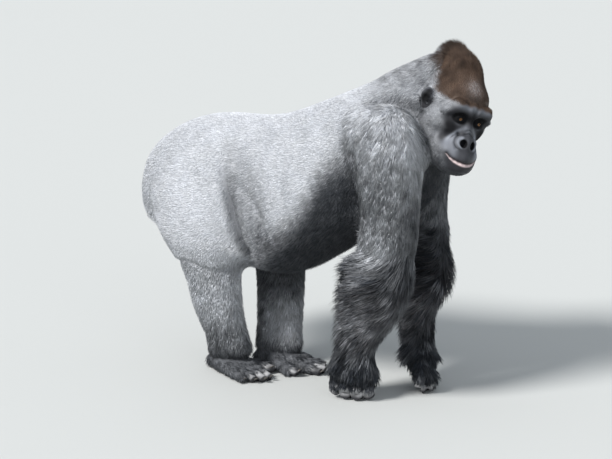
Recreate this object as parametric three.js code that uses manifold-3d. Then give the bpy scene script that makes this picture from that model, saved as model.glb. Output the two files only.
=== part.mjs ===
// A silverback western gorilla at life size, standing on its knuckles and soles with its head
// turned to its right. Millimetres: +X is forward, +Y is the animal's left and +Z is up.
// Every solid reaches out to the tips of the coat. The flesh parts meet with a thin gap.
import * as THREE from "three";
import { mergeVertices } from "three/addons/utils/BufferGeometryUtils.js";
import Module from "manifold-3d";

const wasm = await Module();
wasm.setup();

// ---------------------------------------------------------------- driving dimensions
const GAP = 0.35; // between two parts that meet
const CREST_HEIGHT = 216; // crown of the head above the eyes
const CHIN_DROP = 166; // chin below the eyes
const EYE_SPREAD = 35; // each eye from the middle of the face
const EYE_FORWARD = 119; // front of the eyeballs ahead of the head's centre
const EYEBALL = 12.5; // radius
const ELBOW_HEIGHT = { right: 535, left: 470 };
const WRIST_HEIGHT = 128;
const KNEE_HEIGHT = { right: 385, left: 372 };
const ANKLE_HEIGHT = 84;
const FINGER = 17; // radius of a finger at its base
const TOE = 13.5; // radius of a toe at its base
const FLAT = 2.6; // how far the pads are pressed flat where they carry weight

// The head: its centre, and how it is turned to the right, nodded down and tilted.
const HEAD_AT = [525, -72, 939];
const HEAD_YAW = -37;
const HEAD_PITCH = 4;
const HEAD_ROLL = -19;

// ---------------------------------------------------------------- solids
const vector = (p) => new THREE.Vector3(...p);
const radians = THREE.MathUtils.degToRad;

function solidOf(geometry) {
  const bare = geometry.clone();
  bare.deleteAttribute("normal");
  bare.deleteAttribute("uv");
  const merged = mergeVertices(bare, 1e-3);
  return new wasm.Manifold(
    new wasm.Mesh({
      numProp: 3,
      vertProperties: merged.attributes.position.array,
      triVerts: new Uint32Array(merged.index.array),
    }),
  );
}

function geometryOf(solid) {
  const mesh = solid.getMesh();
  const points = new Float32Array(mesh.numVert * 3);
  for (let i = 0; i < mesh.numVert; i++) {
    const from = i * mesh.numProp;
    points.set(mesh.vertProperties.subarray(from, from + 3), i * 3);
  }
  const geometry = new THREE.BufferGeometry();
  geometry.setAttribute("position", new THREE.BufferAttribute(points, 3));
  geometry.setIndex(new THREE.BufferAttribute(mesh.triVerts, 1));
  geometry.computeVertexNormals();
  return geometry;
}

// Cutting can leave slivers behind: the part is the largest body.
const largest = (solid) => solid.decompose().reduce((a, b) => (a.volume() > b.volume() ? a : b));

// Rings of points with a point at each end become one closed surface, facing out where the rings
// turn anticlockwise as seen from the far end.
function closedOver(rings, start, end) {
  const sides = rings[0].length;
  const points = [start, ...rings.flat(), end];
  const at = (ring, side) => 1 + ring * sides + (side % sides);
  const faces = [];
  for (let side = 0; side < sides; side++) {
    faces.push(0, at(0, side + 1), at(0, side));
    faces.push(points.length - 1, at(rings.length - 1, side), at(rings.length - 1, side + 1));
    for (let ring = 0; ring + 1 < rings.length; ring++) {
      const [a, b] = [at(ring, side), at(ring, side + 1)];
      const [c, d] = [at(ring + 1, side + 1), at(ring + 1, side)];
      faces.push(a, b, c, a, c, d);
    }
  }
  const geometry = new THREE.BufferGeometry().setFromPoints(points);
  geometry.setIndex(faces);
  return solidOf(geometry);
}

// A body lofted through sections square to one axis. Each section has its level along that axis,
// its middle, and how far it reaches each way; fullness 2 is an ellipse, and more is squarer.
function lofted(sections, { sides, rings, place, grow = 0, fullness = 2.2 }) {
  const names = ["level", "midA", "midB", "plusA", "minusA", "plusB", "minusB"];
  const levels = new Float32Array(sections.map((s) => s.level));
  const values = new Float32Array(sections.flatMap((s) => names.map((name) => s[name])));
  const smooth = new THREE.CubicInterpolant(levels, values, names.length);
  const first = levels[0];
  const last = levels[levels.length - 1];
  const made = [];
  for (let i = 0; i <= rings; i++) {
    // Rings crowd together towards both ends, where the form rounds off.
    const share = (1 - Math.cos((Math.PI * i) / rings)) / 2;
    const spaced = 0.55 * (i / rings) + 0.45 * share;
    const [level, midA, midB, plusA, minusA, plusB, minusB] = smooth.evaluate(
      first + (last - first) * spaced,
    );
    const ring = [];
    for (let side = 0; side < sides; side++) {
      const turn = (2 * Math.PI * side) / sides;
      const [c, s] = [Math.cos(turn), Math.sin(turn)];
      const round = (Math.abs(c) ** fullness + Math.abs(s) ** fullness) ** (-1 / fullness);
      const a = midA + c * round * ((c > 0 ? plusA : minusA) + grow);
      const b = midB + s * round * ((s > 0 ? plusB : minusB) + grow);
      ring.push(place(level, a, b));
    }
    made.push(ring);
  }
  const tip = (section, end) => place(section.level + end * (4 + grow), section.midA, section.midB);
  return closedOver(made, tip(sections[0], -1), tip(sections[sections.length - 1], 1));
}

// A round bar along a smooth curve, with its own radius at each point and rounded ends.
function bar(points, radii, { sides = 8, rings = 8, grow = 0 } = {}) {
  const curve = new THREE.CatmullRomCurve3(points.map(vector), false, "centripetal");
  const frames = curve.computeFrenetFrames(rings);
  const steps = points.length - 1;
  const ringAt = (centre, i, radius) => {
    const ring = [];
    for (let side = 0; side < sides; side++) {
      const turn = (2 * Math.PI * side) / sides;
      const out = frames.normals[i].clone().multiplyScalar(Math.cos(turn) * radius);
      out.addScaledVector(frames.binormals[i], Math.sin(turn) * radius);
      ring.push(out.add(centre));
    }
    return ring;
  };
  const made = [];
  for (let i = 0; i <= rings; i++) {
    const along = (steps * i) / rings;
    const k = Math.min(Math.floor(along), steps - 1);
    const radius = THREE.MathUtils.lerp(radii[k], radii[k + 1], along - k) + grow;
    made.push(ringAt(curve.getPoint(i / rings), i, radius));
  }
  const domed = (i, way) => {
    const radius = radii[i ? steps : 0] + grow;
    const end = curve.getPoint(i ? 1 : 0);
    const out = frames.tangents[i].clone().multiplyScalar(way * radius);
    return {
      ring: ringAt(end.clone().addScaledVector(out, 0.6), i, radius * 0.78),
      tip: end.clone().add(out),
    };
  };
  const start = domed(0, -1);
  const end = domed(rings, 1);
  return closedOver([start.ring, ...made, end.ring], start.tip, end.tip);
}

function block(size, at, turn = [0, 0, 0]) {
  const box = new THREE.BoxGeometry(...size);
  box.applyMatrix4(new THREE.Matrix4().makeRotationFromEuler(new THREE.Euler(...turn.map(radians))));
  return solidOf(box.translate(...at));
}

// What of a solid lies above or below a level, half the gap away from it.
const REACH = 4000;
const below = (solid, level) =>
  largest(solid.subtract(block([REACH, REACH, REACH], [0, 0, level - GAP / 2 + REACH / 2])));
const above = (solid, level) =>
  largest(solid.subtract(block([REACH, REACH, REACH], [0, 0, level + GAP / 2 - REACH / 2])));
const standing = (solid) => largest(solid.subtract(block([REACH, REACH, REACH], [0, 0, -REACH / 2])));

// ---------------------------------------------------------------- smooth forms for the head
// A form gives a point's distance to its surface, below zero inside.
const ball = (at, radii) => (p) => {
  const q = [0, 1, 2].map((i) => (p[i] - at[i]) / radii[i]);
  const inner = Math.hypot(...q);
  const outer = Math.hypot(...q.map((v, i) => v / radii[i]));
  return outer < 1e-9 ? -Math.min(...radii) : (inner * (inner - 1)) / outer;
};

const stick = (from, to, start, end) => (p) => {
  const along = to.map((v, i) => v - from[i]);
  const off = p.map((v, i) => v - from[i]);
  const length = along.reduce((sum, v) => sum + v * v, 0);
  const share = THREE.MathUtils.clamp(off.reduce((sum, v, i) => sum + v * along[i], 0) / length, 0, 1);
  return Math.hypot(...off.map((v, i) => v - share * along[i])) - (start + (end - start) * share);
};

// The smaller of two distances, rounded off where they are within k of each other.
function softly(a, b, k) {
  const h = Math.max(k - Math.abs(a - b), 0) / k;
  return Math.min(a, b) - (h * h * k) / 4;
}

const joined = (parts) => (p) => parts.reduce((d, [k, form]) => softly(d, form(p), k), 1e6);
const carved = (form, cutters) => (p) =>
  cutters.reduce((d, [k, cutter]) => -softly(-d, cutter(p), k), form(p));
const both = (make) => [make(-1), make(1)];

// A sphere's points drawn in or out along their own directions until they lie on the form. The
// poles are at the crown and the throat, and the net is finest round the face.
function wrapped(form, centre, { around, along, grow = 0 }) {
  const sphere = new THREE.SphereGeometry(1, around, along);
  const position = sphere.attributes.position;
  for (let i = 0; i < position.count; i++) {
    const polar = Math.acos(THREE.MathUtils.clamp(position.getY(i), -1, 1));
    const round = Math.atan2(position.getZ(i), position.getX(i));
    const tilt = polar + 0.2 * Math.sin(2 * polar);
    const turn = round - 0.5 * Math.sin(round);
    const way = [Math.sin(tilt) * Math.cos(turn), -Math.sin(tilt) * Math.sin(turn), Math.cos(tilt)];
    let reach = 0;
    for (let step = 0; step < 200; step++) {
      const distance = form(centre.map((v, k) => v + way[k] * reach));
      reach -= distance * 0.6;
      if (Math.abs(distance) < 0.02) break;
    }
    reach += grow * 1.3;
    position.setXYZ(i, ...centre.map((v, k) => v + way[k] * reach));
  }
  return solidOf(sphere);
}

// ---------------------------------------------------------------- trunk and neck
const alongX = (level, a, b) => new THREE.Vector3(level, a, b);
const alongZ = (level, a, b) => new THREE.Vector3(a, b, level);

// One section of the trunk: at x, its middle line off to the side, its top, its underside and
// its width, and how far below the back's height the widest place lies.
function girth({ x, y, top, bottom, width, widest = 0.55 }) {
  const middle = top - (top - bottom) * widest;
  return {
    level: x,
    midA: y,
    midB: middle,
    plusA: width / 2,
    minusA: width / 2,
    plusB: top - middle,
    minusB: middle - bottom,
  };
}

const TRUNK = [
  { x: -573, y: -12, top: 640, bottom: 566, width: 90 },
  { x: -557, y: -12, top: 712, bottom: 508, width: 226 },
  { x: -513, y: -12, top: 774, bottom: 456, width: 324 },
  { x: -438, y: -12, top: 828, bottom: 426, width: 412 },
  { x: -338, y: -13, top: 864, bottom: 404, width: 460 },
  { x: -238, y: -15, top: 874, bottom: 384, width: 474 },
  { x: -138, y: -21, top: 874, bottom: 358, width: 500, widest: 0.6 },
  { x: -40, y: -27, top: 894, bottom: 348, width: 540, widest: 0.6 },
  { x: 52, y: -33, top: 932, bottom: 372, width: 552, widest: 0.58 },
  { x: 142, y: -39, top: 970, bottom: 426, width: 538, widest: 0.52 },
  { x: 232, y: -45, top: 1010, bottom: 484, width: 516, widest: 0.48 },
  { x: 322, y: -51, top: 1050, bottom: 530, width: 486, widest: 0.46 },
  { x: 396, y: -56, top: 1060, bottom: 572, width: 424, widest: 0.47 },
  { x: 455, y: -60, top: 1010, bottom: 632, width: 324, widest: 0.5 },
  { x: 496, y: -62, top: 930, bottom: 700, width: 196, widest: 0.5 },
  { x: 510, y: -62, top: 870, bottom: 766, width: 74, widest: 0.5 },
].map(girth);

const NECK = [
  { x: 240, y: -50, top: 990, bottom: 860, width: 240 },
  { x: 280, y: -50, top: 1038, bottom: 790, width: 356, widest: 0.66 },
  { x: 350, y: -46, top: 1078, bottom: 740, width: 376, widest: 0.64 },
  { x: 420, y: -36, top: 1113, bottom: 730, width: 282, widest: 0.6 },
  { x: 480, y: -24, top: 1136, bottom: 750, width: 206, widest: 0.55 },
  { x: 530, y: -26, top: 1122, bottom: 800, width: 164, widest: 0.5 },
  { x: 562, y: -28, top: 1054, bottom: 880, width: 90, widest: 0.5 },
].map(girth);

const trunkOf = (grow) => lofted(TRUNK, { sides: 22, rings: 19, place: alongX, grow, fullness: 2.1 });
const neckOf = (grow) => lofted(NECK, { sides: 14, rings: 7, place: alongX, grow, fullness: 2.1 });

// ---------------------------------------------------------------- limbs
// One section of a limb at height z: its middle, how far it reaches forwards and back, and its
// width from side to side.
const slice = ({ z, x, y, front, back = front, width }) => ({
  level: z,
  midA: x,
  midB: y,
  plusA: front,
  minusA: back,
  plusB: width / 2,
  minusB: width / 2,
});

const ARMS = {
  right: [
    { z: 36, x: 250, y: -180, front: 52, width: 62 },
    { z: 67, x: 251, y: -182, front: 84, width: 104 },
    { z: 102, x: 254, y: -184, front: 87, width: 114 },
    { z: 145, x: 261, y: -187, front: 80, width: 118 },
    { z: 187, x: 271, y: -191, front: 81, width: 126 },
    { z: 242, x: 294, y: -198, front: 100, width: 144 },
    { z: 286, x: 314, y: -206, front: 113, width: 156 },
    { z: 364, x: 344, y: -222, front: 130, width: 174 },
    { z: 433, x: 363, y: -232, front: 126, width: 180 },
    { z: 491, x: 376, y: -240, front: 118, back: 120, width: 178 },
    { z: 535, x: 390, y: -246, front: 106, back: 110, width: 176 },
    { z: 600, x: 406, y: -250, front: 96, back: 98, width: 176 },
    { z: 688, x: 403, y: -253, front: 102, back: 104, width: 196 },
    { z: 768, x: 402, y: -252, front: 110, back: 116, width: 212 },
    { z: 840, x: 392, y: -246, front: 116, back: 130, width: 214 },
    { z: 905, x: 382, y: -234, front: 112, back: 136, width: 202 },
    { z: 952, x: 370, y: -216, front: 92, back: 114, width: 172 },
    { z: 984, x: 358, y: -198, front: 60, back: 78, width: 120 },
    { z: 998, x: 350, y: -186, front: 24, back: 34, width: 56 },
  ].map(slice),
  left: [
    { z: 30, x: 410, y: 24, front: 36, width: 60 },
    { z: 56, x: 404, y: 28, front: 55, width: 112 },
    { z: 96, x: 396, y: 38, front: 57, width: 120 },
    { z: 132, x: 387, y: 50, front: 58, width: 120 },
    { z: 176, x: 374, y: 66, front: 66, width: 126 },
    { z: 233, x: 368, y: 86, front: 70, back: 72, width: 138 },
    { z: 269, x: 371, y: 102, front: 79, back: 88, width: 150 },
    { z: 307, x: 381, y: 118, front: 93, back: 108, width: 160 },
    { z: 353, x: 380, y: 134, front: 97, back: 120, width: 170 },
    { z: 407, x: 378, y: 150, front: 88, back: 128, width: 176 },
    { z: 460, x: 370, y: 163, front: 78, back: 122, width: 176 },
    { z: 508, x: 356, y: 172, front: 82, back: 108, width: 172 },
    { z: 560, x: 344, y: 180, front: 84, back: 98, width: 172 },
    { z: 630, x: 334, y: 186, front: 96, back: 98, width: 178 },
    { z: 710, x: 326, y: 188, front: 112, back: 108, width: 196 },
    { z: 790, x: 320, y: 182, front: 124, back: 120, width: 208 },
    { z: 865, x: 316, y: 170, front: 124, back: 124, width: 206 },
    { z: 930, x: 312, y: 150, front: 106, back: 112, width: 184 },
    { z: 978, x: 308, y: 128, front: 70, back: 80, width: 132 },
    { z: 996, x: 306, y: 116, front: 32, back: 38, width: 64 },
  ].map(slice),
};

const LEGS = {
  right: [
    { z: 44, x: -246, y: -86, front: 56, back: 60, width: 80 },
    { z: 76, x: -238, y: -92, front: 86, back: 84, width: 112 },
    { z: 121, x: -240, y: -102, front: 85, width: 128 },
    { z: 168, x: -249, y: -116, front: 87, width: 142 },
    { z: 225, x: -261, y: -130, front: 94, width: 156 },
    { z: 303, x: -266, y: -144, front: 100, width: 166 },
    { z: 350, x: -268, y: -150, front: 104, width: 178 },
    { z: 396, x: -274, y: -156, front: 116, back: 122, width: 204 },
    { z: 462, x: -284, y: -162, front: 136, back: 154, width: 242 },
    { z: 530, x: -290, y: -164, front: 148, back: 182, width: 256 },
    { z: 600, x: -306, y: -158, front: 150, back: 186, width: 254 },
    { z: 670, x: -322, y: -144, front: 138, back: 158, width: 230 },
    { z: 730, x: -334, y: -124, front: 100, back: 116, width: 172 },
    { z: 762, x: -338, y: -110, front: 48, back: 54, width: 84 },
  ].map(slice),
  left: [
    { z: 36, x: -122, y: 44, front: 58, back: 58, width: 80 },
    { z: 64, x: -123, y: 50, front: 88, back: 86, width: 112 },
    { z: 96, x: -127, y: 58, front: 88, width: 124 },
    { z: 142, x: -131, y: 70, front: 91, width: 136 },
    { z: 225, x: -138, y: 94, front: 92, width: 152 },
    { z: 300, x: -148, y: 114, front: 92, width: 168 },
    { z: 350, x: -156, y: 124, front: 100, back: 98, width: 184 },
    { z: 410, x: -182, y: 134, front: 120, back: 120, width: 214 },
    { z: 480, x: -222, y: 140, front: 142, back: 146, width: 240 },
    { z: 550, x: -262, y: 140, front: 152, back: 182, width: 250 },
    { z: 620, x: -296, y: 132, front: 146, back: 178, width: 240 },
    { z: 690, x: -318, y: 114, front: 130, back: 148, width: 214 },
    { z: 738, x: -330, y: 98, front: 96, back: 108, width: 160 },
    { z: 768, x: -334, y: 86, front: 44, back: 50, width: 78 },
  ].map(slice),
};

const armOf = (side, grow = 0) =>
  lofted(ARMS[side], { sides: 12, rings: 15, place: alongZ, grow, fullness: 2.15 });
const legOf = (side, grow = 0) =>
  lofted(LEGS[side], { sides: 12, rings: 12, place: alongZ, grow, fullness: 2.15 });

// ---------------------------------------------------------------- hands
// A hand stands on the backs of its middle finger bones. It is laid out from the middle of its
// knuckles on the ground: `back` is where the back of the hand faces, as an angle from forwards.
const FINGERS = [
  { across: 57, size: 1, lead: -5 }, // index
  { across: 20, size: 1.08, lead: 4 },
  { across: -19, size: 1.06, lead: 2 },
  { across: -56, size: 0.94, lead: -8 }, // little
];

function handOf(side) {
  const { at, back, wrist } = HANDS[side];
  const facing = radians(back);
  const thumbSide = side === "right" ? 1 : -1; // the thumb is on the left of a right hand's back
  const place = ([out, across, up]) => {
    const sideways = across * thumbSide;
    return [
      at[0] + out * Math.cos(facing) - sideways * Math.sin(facing),
      at[1] + out * Math.sin(facing) + sideways * Math.cos(facing),
      up,
    ];
  };
  const rest = FINGER - FLAT; // height of a finger's middle above the floor
  const parts = FINGERS.map(({ across, size, lead }) =>
    bar(
      [
        place([-12, across * 0.8, 92]),
        place([2, across * 0.92, 66]),
        place([24 + lead, across, rest + 12]),
        place([8 + lead, across, rest]),
        place([-22, across * 0.97, rest + 3]),
        place([-36, across * 0.9, rest + 24]),
      ],
      [22, 20, FINGER * size, FINGER * size, 15.5 * size, 12 * size],
      { sides: 6, rings: 6 },
    ),
  );
  const palm = bar(
    [place([-14, 0, 62]), place([-12, 4, 96]), [...wrist, WRIST_HEIGHT], [...wrist, WRIST_HEIGHT + 30]],
    [34, 50, 56, 56],
    { sides: 8, rings: 3 },
  );
  const thumb = bar(
    [place([-22, 52, 96]), place([-26, 66, 74]), place([-24, 68, 50]), place([-22, 62, 32])],
    [22, 17, 14.5, 11],
    { sides: 6, rings: 3 },
  );
  return parts.concat(palm, thumb).reduce((a, b) => a.add(b));
}

const HANDS = {
  right: { at: [248, -179, 0], back: -80, wrist: [256, -186] },
  left: { at: [428, 20, 0], back: 22, wrist: [390, 46] },
};

// ---------------------------------------------------------------- feet
// A foot is laid out from the middle of its heel: `ahead` is where it points, as an angle.
const TOES = [
  { across: 36, from: 164, long: 72, size: 1.04 },
  { across: 10, from: 168, long: 74, size: 1.02 },
  { across: -17, from: 160, long: 68, size: 0.98 },
  { across: -41, from: 144, long: 58, size: 0.9 },
];

function footOf(side) {
  const { at, ahead } = FEET[side];
  const facing = radians(ahead);
  const inner = side === "right" ? 1 : -1; // the big toe is on the left of a right foot
  const place = ([out, across, up]) => [
    at[0] + out * Math.cos(facing) - across * inner * Math.sin(facing),
    at[1] + out * Math.sin(facing) + across * inner * Math.cos(facing),
    up,
  ];
  const rest = TOE - FLAT;
  const toes = TOES.map(({ across, from, long, size }) =>
    bar(
      [
        place([from - 46, across * 0.8, 28]),
        place([from, across, rest + 8]),
        place([from + long * 0.5, across * 1.06, rest + 6]),
        place([from + long, across * 1.08, rest]),
      ],
      [22, 17 * size, 14.5 * size, TOE * size * 0.9],
      { sides: 6, rings: 3 },
    ),
  );
  const bigToe = bar(
    [place([58, 34, 26]), place([104, 66, 19]), place([142, 84, 17]), place([172, 88, 16])],
    [26, 20, 18, 15.5],
    { sides: 6, rings: 3 },
  );
  const sole = [-1, 1].map((edge) =>
    bar(
      [place([-6, edge * 12, 26]), place([60, edge * 22, 28]), place([128, edge * 30, 22])],
      [30, 30, 24],
      { sides: 8, rings: 3 },
    ),
  );
  const instep = bar(
    [place([8, 0, 92]), place([22, 0, 62]), place([70, 6, 42]), place([118, 4, 26])],
    [50, 46, 36, 26],
    { sides: 8, rings: 3 },
  );
  return toes.concat(bigToe, sole, instep).reduce((a, b) => a.add(b));
}

const FEET = {
  right: { at: [-296, -60, 0], ahead: -27 },
  left: { at: [-172, 42, 0], ahead: -4 },
};

// ---------------------------------------------------------------- head
// The head's own frame: X out of the face, Y to its left, Z to its crown, from its centre.
const CROWN = [-76, 0, CREST_HEIGHT - 110];
const headForm = carved(
  joined([
    [1, ball([-18, 0, 20], [116, 90, 96])], // skull
    [60, ball(CROWN, [94, 58, 120])], // crest and the pad over it
    [50, ball([4, 0, 110], [78, 62, 92])], // forehead
    [30, ball([40, 0, 66], [78, 81, 56])], // its slope down to the brow
    [60, ball([-92, 0, 34], [66, 84, 104])], // nape
    ...both((s) => [55, ball([-4, 62 * s, -8], [74, 50, 96])]), // temples and jaw muscles
    ...both((s) => [24, stick([115, 10 * s, 34], [110, 54 * s, 37], 18.5, 16.5)]), // brow ridge
    ...both((s) => [22, stick([110, 54 * s, 37], [90, 82 * s, 12], 16.5, 13.5)]), // its outer end
    ...both((s) => [34, stick([84, 56 * s, -28], [52, 76 * s, -18], 20, 24)]), // cheekbones
    [34, ball([88, 0, -34], [36, 52, 44])], // middle of the face
    [18, stick([110, 0, 4], [125, 0, -46], 11, 15)], // bridge of the nose
    ...both((s) => [10, ball([131, 17 * s, -66], [13, 21, 20])]), // wings of the nose
    [10, ball([139, 0, -60], [12, 9, 15])], // tip between the wings
    [32, ball([92, 0, -97], [62, 56, 42])], // muzzle
    ...both((s) => [20, stick([143, 0, -111], [116, 46 * s, -102], 15, 13)]), // upper lip
    ...both((s) => [14, stick([141, 0, -138], [114, 44 * s, -128], 12, 10.5)]), // lower lip
    [30, ball([108, 0, 30 - CHIN_DROP], [36, 42, 32])], // chin
    ...both((s) => [50, stick([6, 64 * s, -96], [98, 32 * s, -130], 36, 28)]), // jaw
    [40, ball([26, 0, -112], [76, 62, 46])], // throat
  ]),
  [
    ...both((s) => [8, ball([135, 37 * s, 1], [31, 30, 19])]), // eye sockets
    ...both((s) => [4, ball([146, 16 * s, -67], [19, 9.5, 11.5])]), // nostrils
    ...both((s) => [8, stick([156, 0, -125], [130, 46 * s, -117], 5, 4)]), // mouth
  ],
);

const headTurn = new THREE.Matrix4()
  .makeTranslation(...HEAD_AT)
  .multiply(new THREE.Matrix4().makeRotationZ(radians(HEAD_YAW)))
  .multiply(new THREE.Matrix4().makeRotationY(radians(HEAD_PITCH)))
  .multiply(new THREE.Matrix4().makeRotationX(radians(HEAD_ROLL)));

const onHead = (solid) => solid.transform(headTurn.elements);
const headOf = (grow = 0) => wrapped(headForm, [20, 0, -24], { around: 38, along: 25, grow });

const eyeAt = (s) => [EYE_FORWARD - EYEBALL, EYE_SPREAD * s, 0];
const sphere = (radius, at, around = 10, along = 8) =>
  solidOf(new THREE.SphereGeometry(radius, around, along).translate(...at));

// An ear is a small dish with a thick rim, leaning out from the side of the head.
function earOf(s) {
  const dish = solidOf(new THREE.SphereGeometry(1, 10, 6).scale(27, 11, 36));
  const scoop = solidOf(new THREE.SphereGeometry(1, 8, 4).scale(16, 9, 25).translate(1, 11, 2));
  const lean = new THREE.Matrix4()
    .makeTranslation(19, 118 * s, 31)
    .multiply(new THREE.Matrix4().makeRotationZ(radians(-24 * s)))
    .multiply(new THREE.Matrix4().makeRotationX(radians(-8 * s)))
    .multiply(new THREE.Matrix4().makeRotationY(radians(14)));
  const root = sphere(22, [0, -20, 0], 6, 4);
  const left = dish.subtract(scoop).add(root);
  return (s > 0 ? left : left.mirror([0, 1, 0])).transform(lean.elements);
}

// ---------------------------------------------------------------- the animal
const solids = {};
const sides = { right: -1, left: 1 };

const trunk = trunkOf(0);
const trunkRoom = trunkOf(GAP);
const neckRoom = neckOf(GAP);
const headRoom = onHead(headOf(GAP));

solids.trunk = trunk;
solids.neck = largest(neckOf(0).subtract(trunkRoom).subtract(headRoom));
let head = headOf();

for (const [side, s] of Object.entries(sides)) {
  head = head.subtract(sphere(EYEBALL + GAP, eyeAt(s)));
  solids[`eye_${side}`] = onHead(sphere(EYEBALL, eyeAt(s)));
  const ear = onHead(earOf(s)).subtract(headRoom).subtract(trunkRoom).subtract(neckRoom);
  solids[`ear_${side}`] = largest(ear);

  const arm = armOf(side).subtract(trunkRoom).subtract(neckRoom).subtract(headRoom);
  const elbow = ELBOW_HEIGHT[side];
  solids[`upper_arm_${side}`] = above(arm, elbow);
  solids[`forearm_${side}`] = above(below(arm, elbow), WRIST_HEIGHT);
  solids[`hand_${side}`] = standing(below(handOf(side).add(armOf(side)), WRIST_HEIGHT));

  const leg = legOf(side).subtract(trunkRoom);
  const knee = KNEE_HEIGHT[side];
  solids[`thigh_${side}`] = above(leg, knee);
  solids[`shank_${side}`] = above(below(leg, knee), ANKLE_HEIGHT);
  solids[`foot_${side}`] = standing(below(footOf(side).add(legOf(side)), ANKLE_HEIGHT));
}
solids.head = largest(onHead(head).subtract(trunkRoom));

// ---------------------------------------------------------------- materials and the group
const finishes = {
  silver_coat: { color: 0xa4a6ac, roughness: 0.9, metalness: 0 },
  dark_coat: { color: 0x3b3d42, roughness: 0.9, metalness: 0 },
  crown_coat: { color: 0x5c4940, roughness: 0.9, metalness: 0 },
  bare_skin: { color: 0x2b2c30, roughness: 0.55, metalness: 0 },
  eye: { color: 0x2a1509, roughness: 0.08, metalness: 0 },
};
const finishOf = [
  [/^eye/, "eye"],
  [/^ear|^hand|^foot/, "bare_skin"],
  [/^head/, "crown_coat"],
  [/arm|^shank/, "dark_coat"],
  [/./, "silver_coat"],
];

// The origin is on the floor below the middle of the whole animal.
const bounds = new THREE.Box3();
for (const solid of Object.values(solids)) {
  const { min, max } = solid.boundingBox();
  bounds.expandByPoint(vector(min)).expandByPoint(vector(max));
}
const middle = bounds.getCenter(new THREE.Vector3());

const gorilla = new THREE.Group();
for (const [name, solid] of Object.entries(solids)) {
  const finish = finishOf.find(([pattern]) => pattern.test(name))[1];
  const geometry = geometryOf(solid.translate([-middle.x, -middle.y, 0]));
  const mesh = new THREE.Mesh(geometry, new THREE.MeshStandardMaterial(finishes[finish]));
  mesh.name = name;
  gorilla.add(mesh);
}

export default gorilla;
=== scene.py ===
"""A silverback western gorilla at life size, as a still model: one skin, eyes, nails and coat.

Metres, with +X forwards along the body, +Y to the animal's left and +Z up. The head is shaped in
millimetres in its own frame: X out of the face, Y to its left and Z to its crown.
"""

import math

import bpy
import numpy as np
from mathutils import Matrix, Vector
from mathutils.bvhtree import BVHTree
from mathutils.kdtree import KDTree


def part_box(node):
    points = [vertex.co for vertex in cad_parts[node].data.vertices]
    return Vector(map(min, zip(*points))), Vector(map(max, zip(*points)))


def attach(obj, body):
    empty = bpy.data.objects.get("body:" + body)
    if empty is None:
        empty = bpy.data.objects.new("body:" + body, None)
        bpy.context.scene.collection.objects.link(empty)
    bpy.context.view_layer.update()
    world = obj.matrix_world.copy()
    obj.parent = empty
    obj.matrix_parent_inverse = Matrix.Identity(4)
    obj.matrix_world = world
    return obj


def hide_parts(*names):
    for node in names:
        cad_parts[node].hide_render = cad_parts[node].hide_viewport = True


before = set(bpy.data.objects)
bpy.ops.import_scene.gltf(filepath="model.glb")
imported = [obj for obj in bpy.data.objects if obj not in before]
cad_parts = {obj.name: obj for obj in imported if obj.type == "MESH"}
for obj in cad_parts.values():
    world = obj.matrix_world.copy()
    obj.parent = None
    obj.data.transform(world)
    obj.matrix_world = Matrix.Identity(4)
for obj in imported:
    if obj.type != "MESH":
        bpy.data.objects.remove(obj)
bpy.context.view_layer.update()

SIDES = {"right": -1, "left": 1}
PAIRED = ("upper_arm", "forearm", "hand", "thigh", "shank", "foot")
LIMBS = [f"{part}_{side}" for part in PAIRED for side in SIDES]
FLESH = ["trunk", "neck", "head", "ear_right", "ear_left", *LIMBS]

SKIN_MESH = 0.0115  # size of the skin's faces on the body
OVERLAP = 0.0012  # how far the solids grow to close the gaps between them
MID_LINE = 0.015  # the middle of the body, across
HEAD_YAW, HEAD_PITCH, HEAD_ROLL = -37.0, 4.0, -19.0  # degrees
EYE_CENTRE = (106.5, 35.0, 0.0)  # millimetres, in the head's frame


# -------- small helpers
def unit(vectors):
    return vectors / np.maximum(np.linalg.norm(vectors, axis=-1, keepdims=True), 1e-9)


def ramp(value, low, high):
    share = np.clip((value - low) / (high - low), 0.0, 1.0)
    return share * share * (3.0 - 2.0 * share)


def mix(a, b, share):
    share = np.asarray(share)
    if np.ndim(a) > share.ndim or np.ndim(b) > share.ndim:
        share = share[..., None]
    return a * (1.0 - share) + b * share


def bell(value, width):
    """One at zero, fading out to both sides."""
    return np.exp(-((value / width) ** 2))


def spot(points, at, radii):
    """One at a place, fading out around it."""
    return np.exp(-(((points - at) / radii) ** 2).sum(1))


def reach(points, at, radii=1.0):
    """How many radii from a place each point lies."""
    return np.linalg.norm((points - at) / radii, axis=1)


def only(piece):
    bpy.ops.object.select_all(action="DESELECT")
    piece.select_set(True)
    bpy.context.view_layer.objects.active = piece


def edit_all(action="SELECT"):
    """Opens the active piece for editing, with all of it selected."""
    bpy.ops.object.mode_set(mode="EDIT")
    bpy.ops.mesh.select_all(action=action)


def stop_editing():
    bpy.ops.object.mode_set(mode="OBJECT")


def joined_as(name, pieces):
    """Several pieces made one."""
    only(pieces[0])
    for piece in pieces:
        piece.select_set(True)
    bpy.ops.object.join()
    whole = bpy.context.active_object
    whole.name = name
    whole.data.name = name
    return whole


def read_all(items, what, width, kind=np.float32):
    """One row of values for each of a mesh's points, edges or faces."""
    values = np.empty(len(items) * width, kind)
    items.foreach_get(what, values)
    return values.reshape(-1, width)


def flat(values, kind=np.float32):
    """Values as one plain row, the way a mesh takes them."""
    return np.ascontiguousarray(values, kind).ravel()


def points_of(piece):
    return read_all(piece.data.vertices, "co", 3).astype(float)


def normals_of(piece):
    return read_all(piece.data.vertex_normals, "vector", 3).astype(float)


def edges_of(piece):
    return read_all(piece.data.edges, "vertices", 2, np.int32)


def set_points(piece, points):
    piece.data.vertices.foreach_set("co", flat(points))
    piece.data.update()


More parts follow.
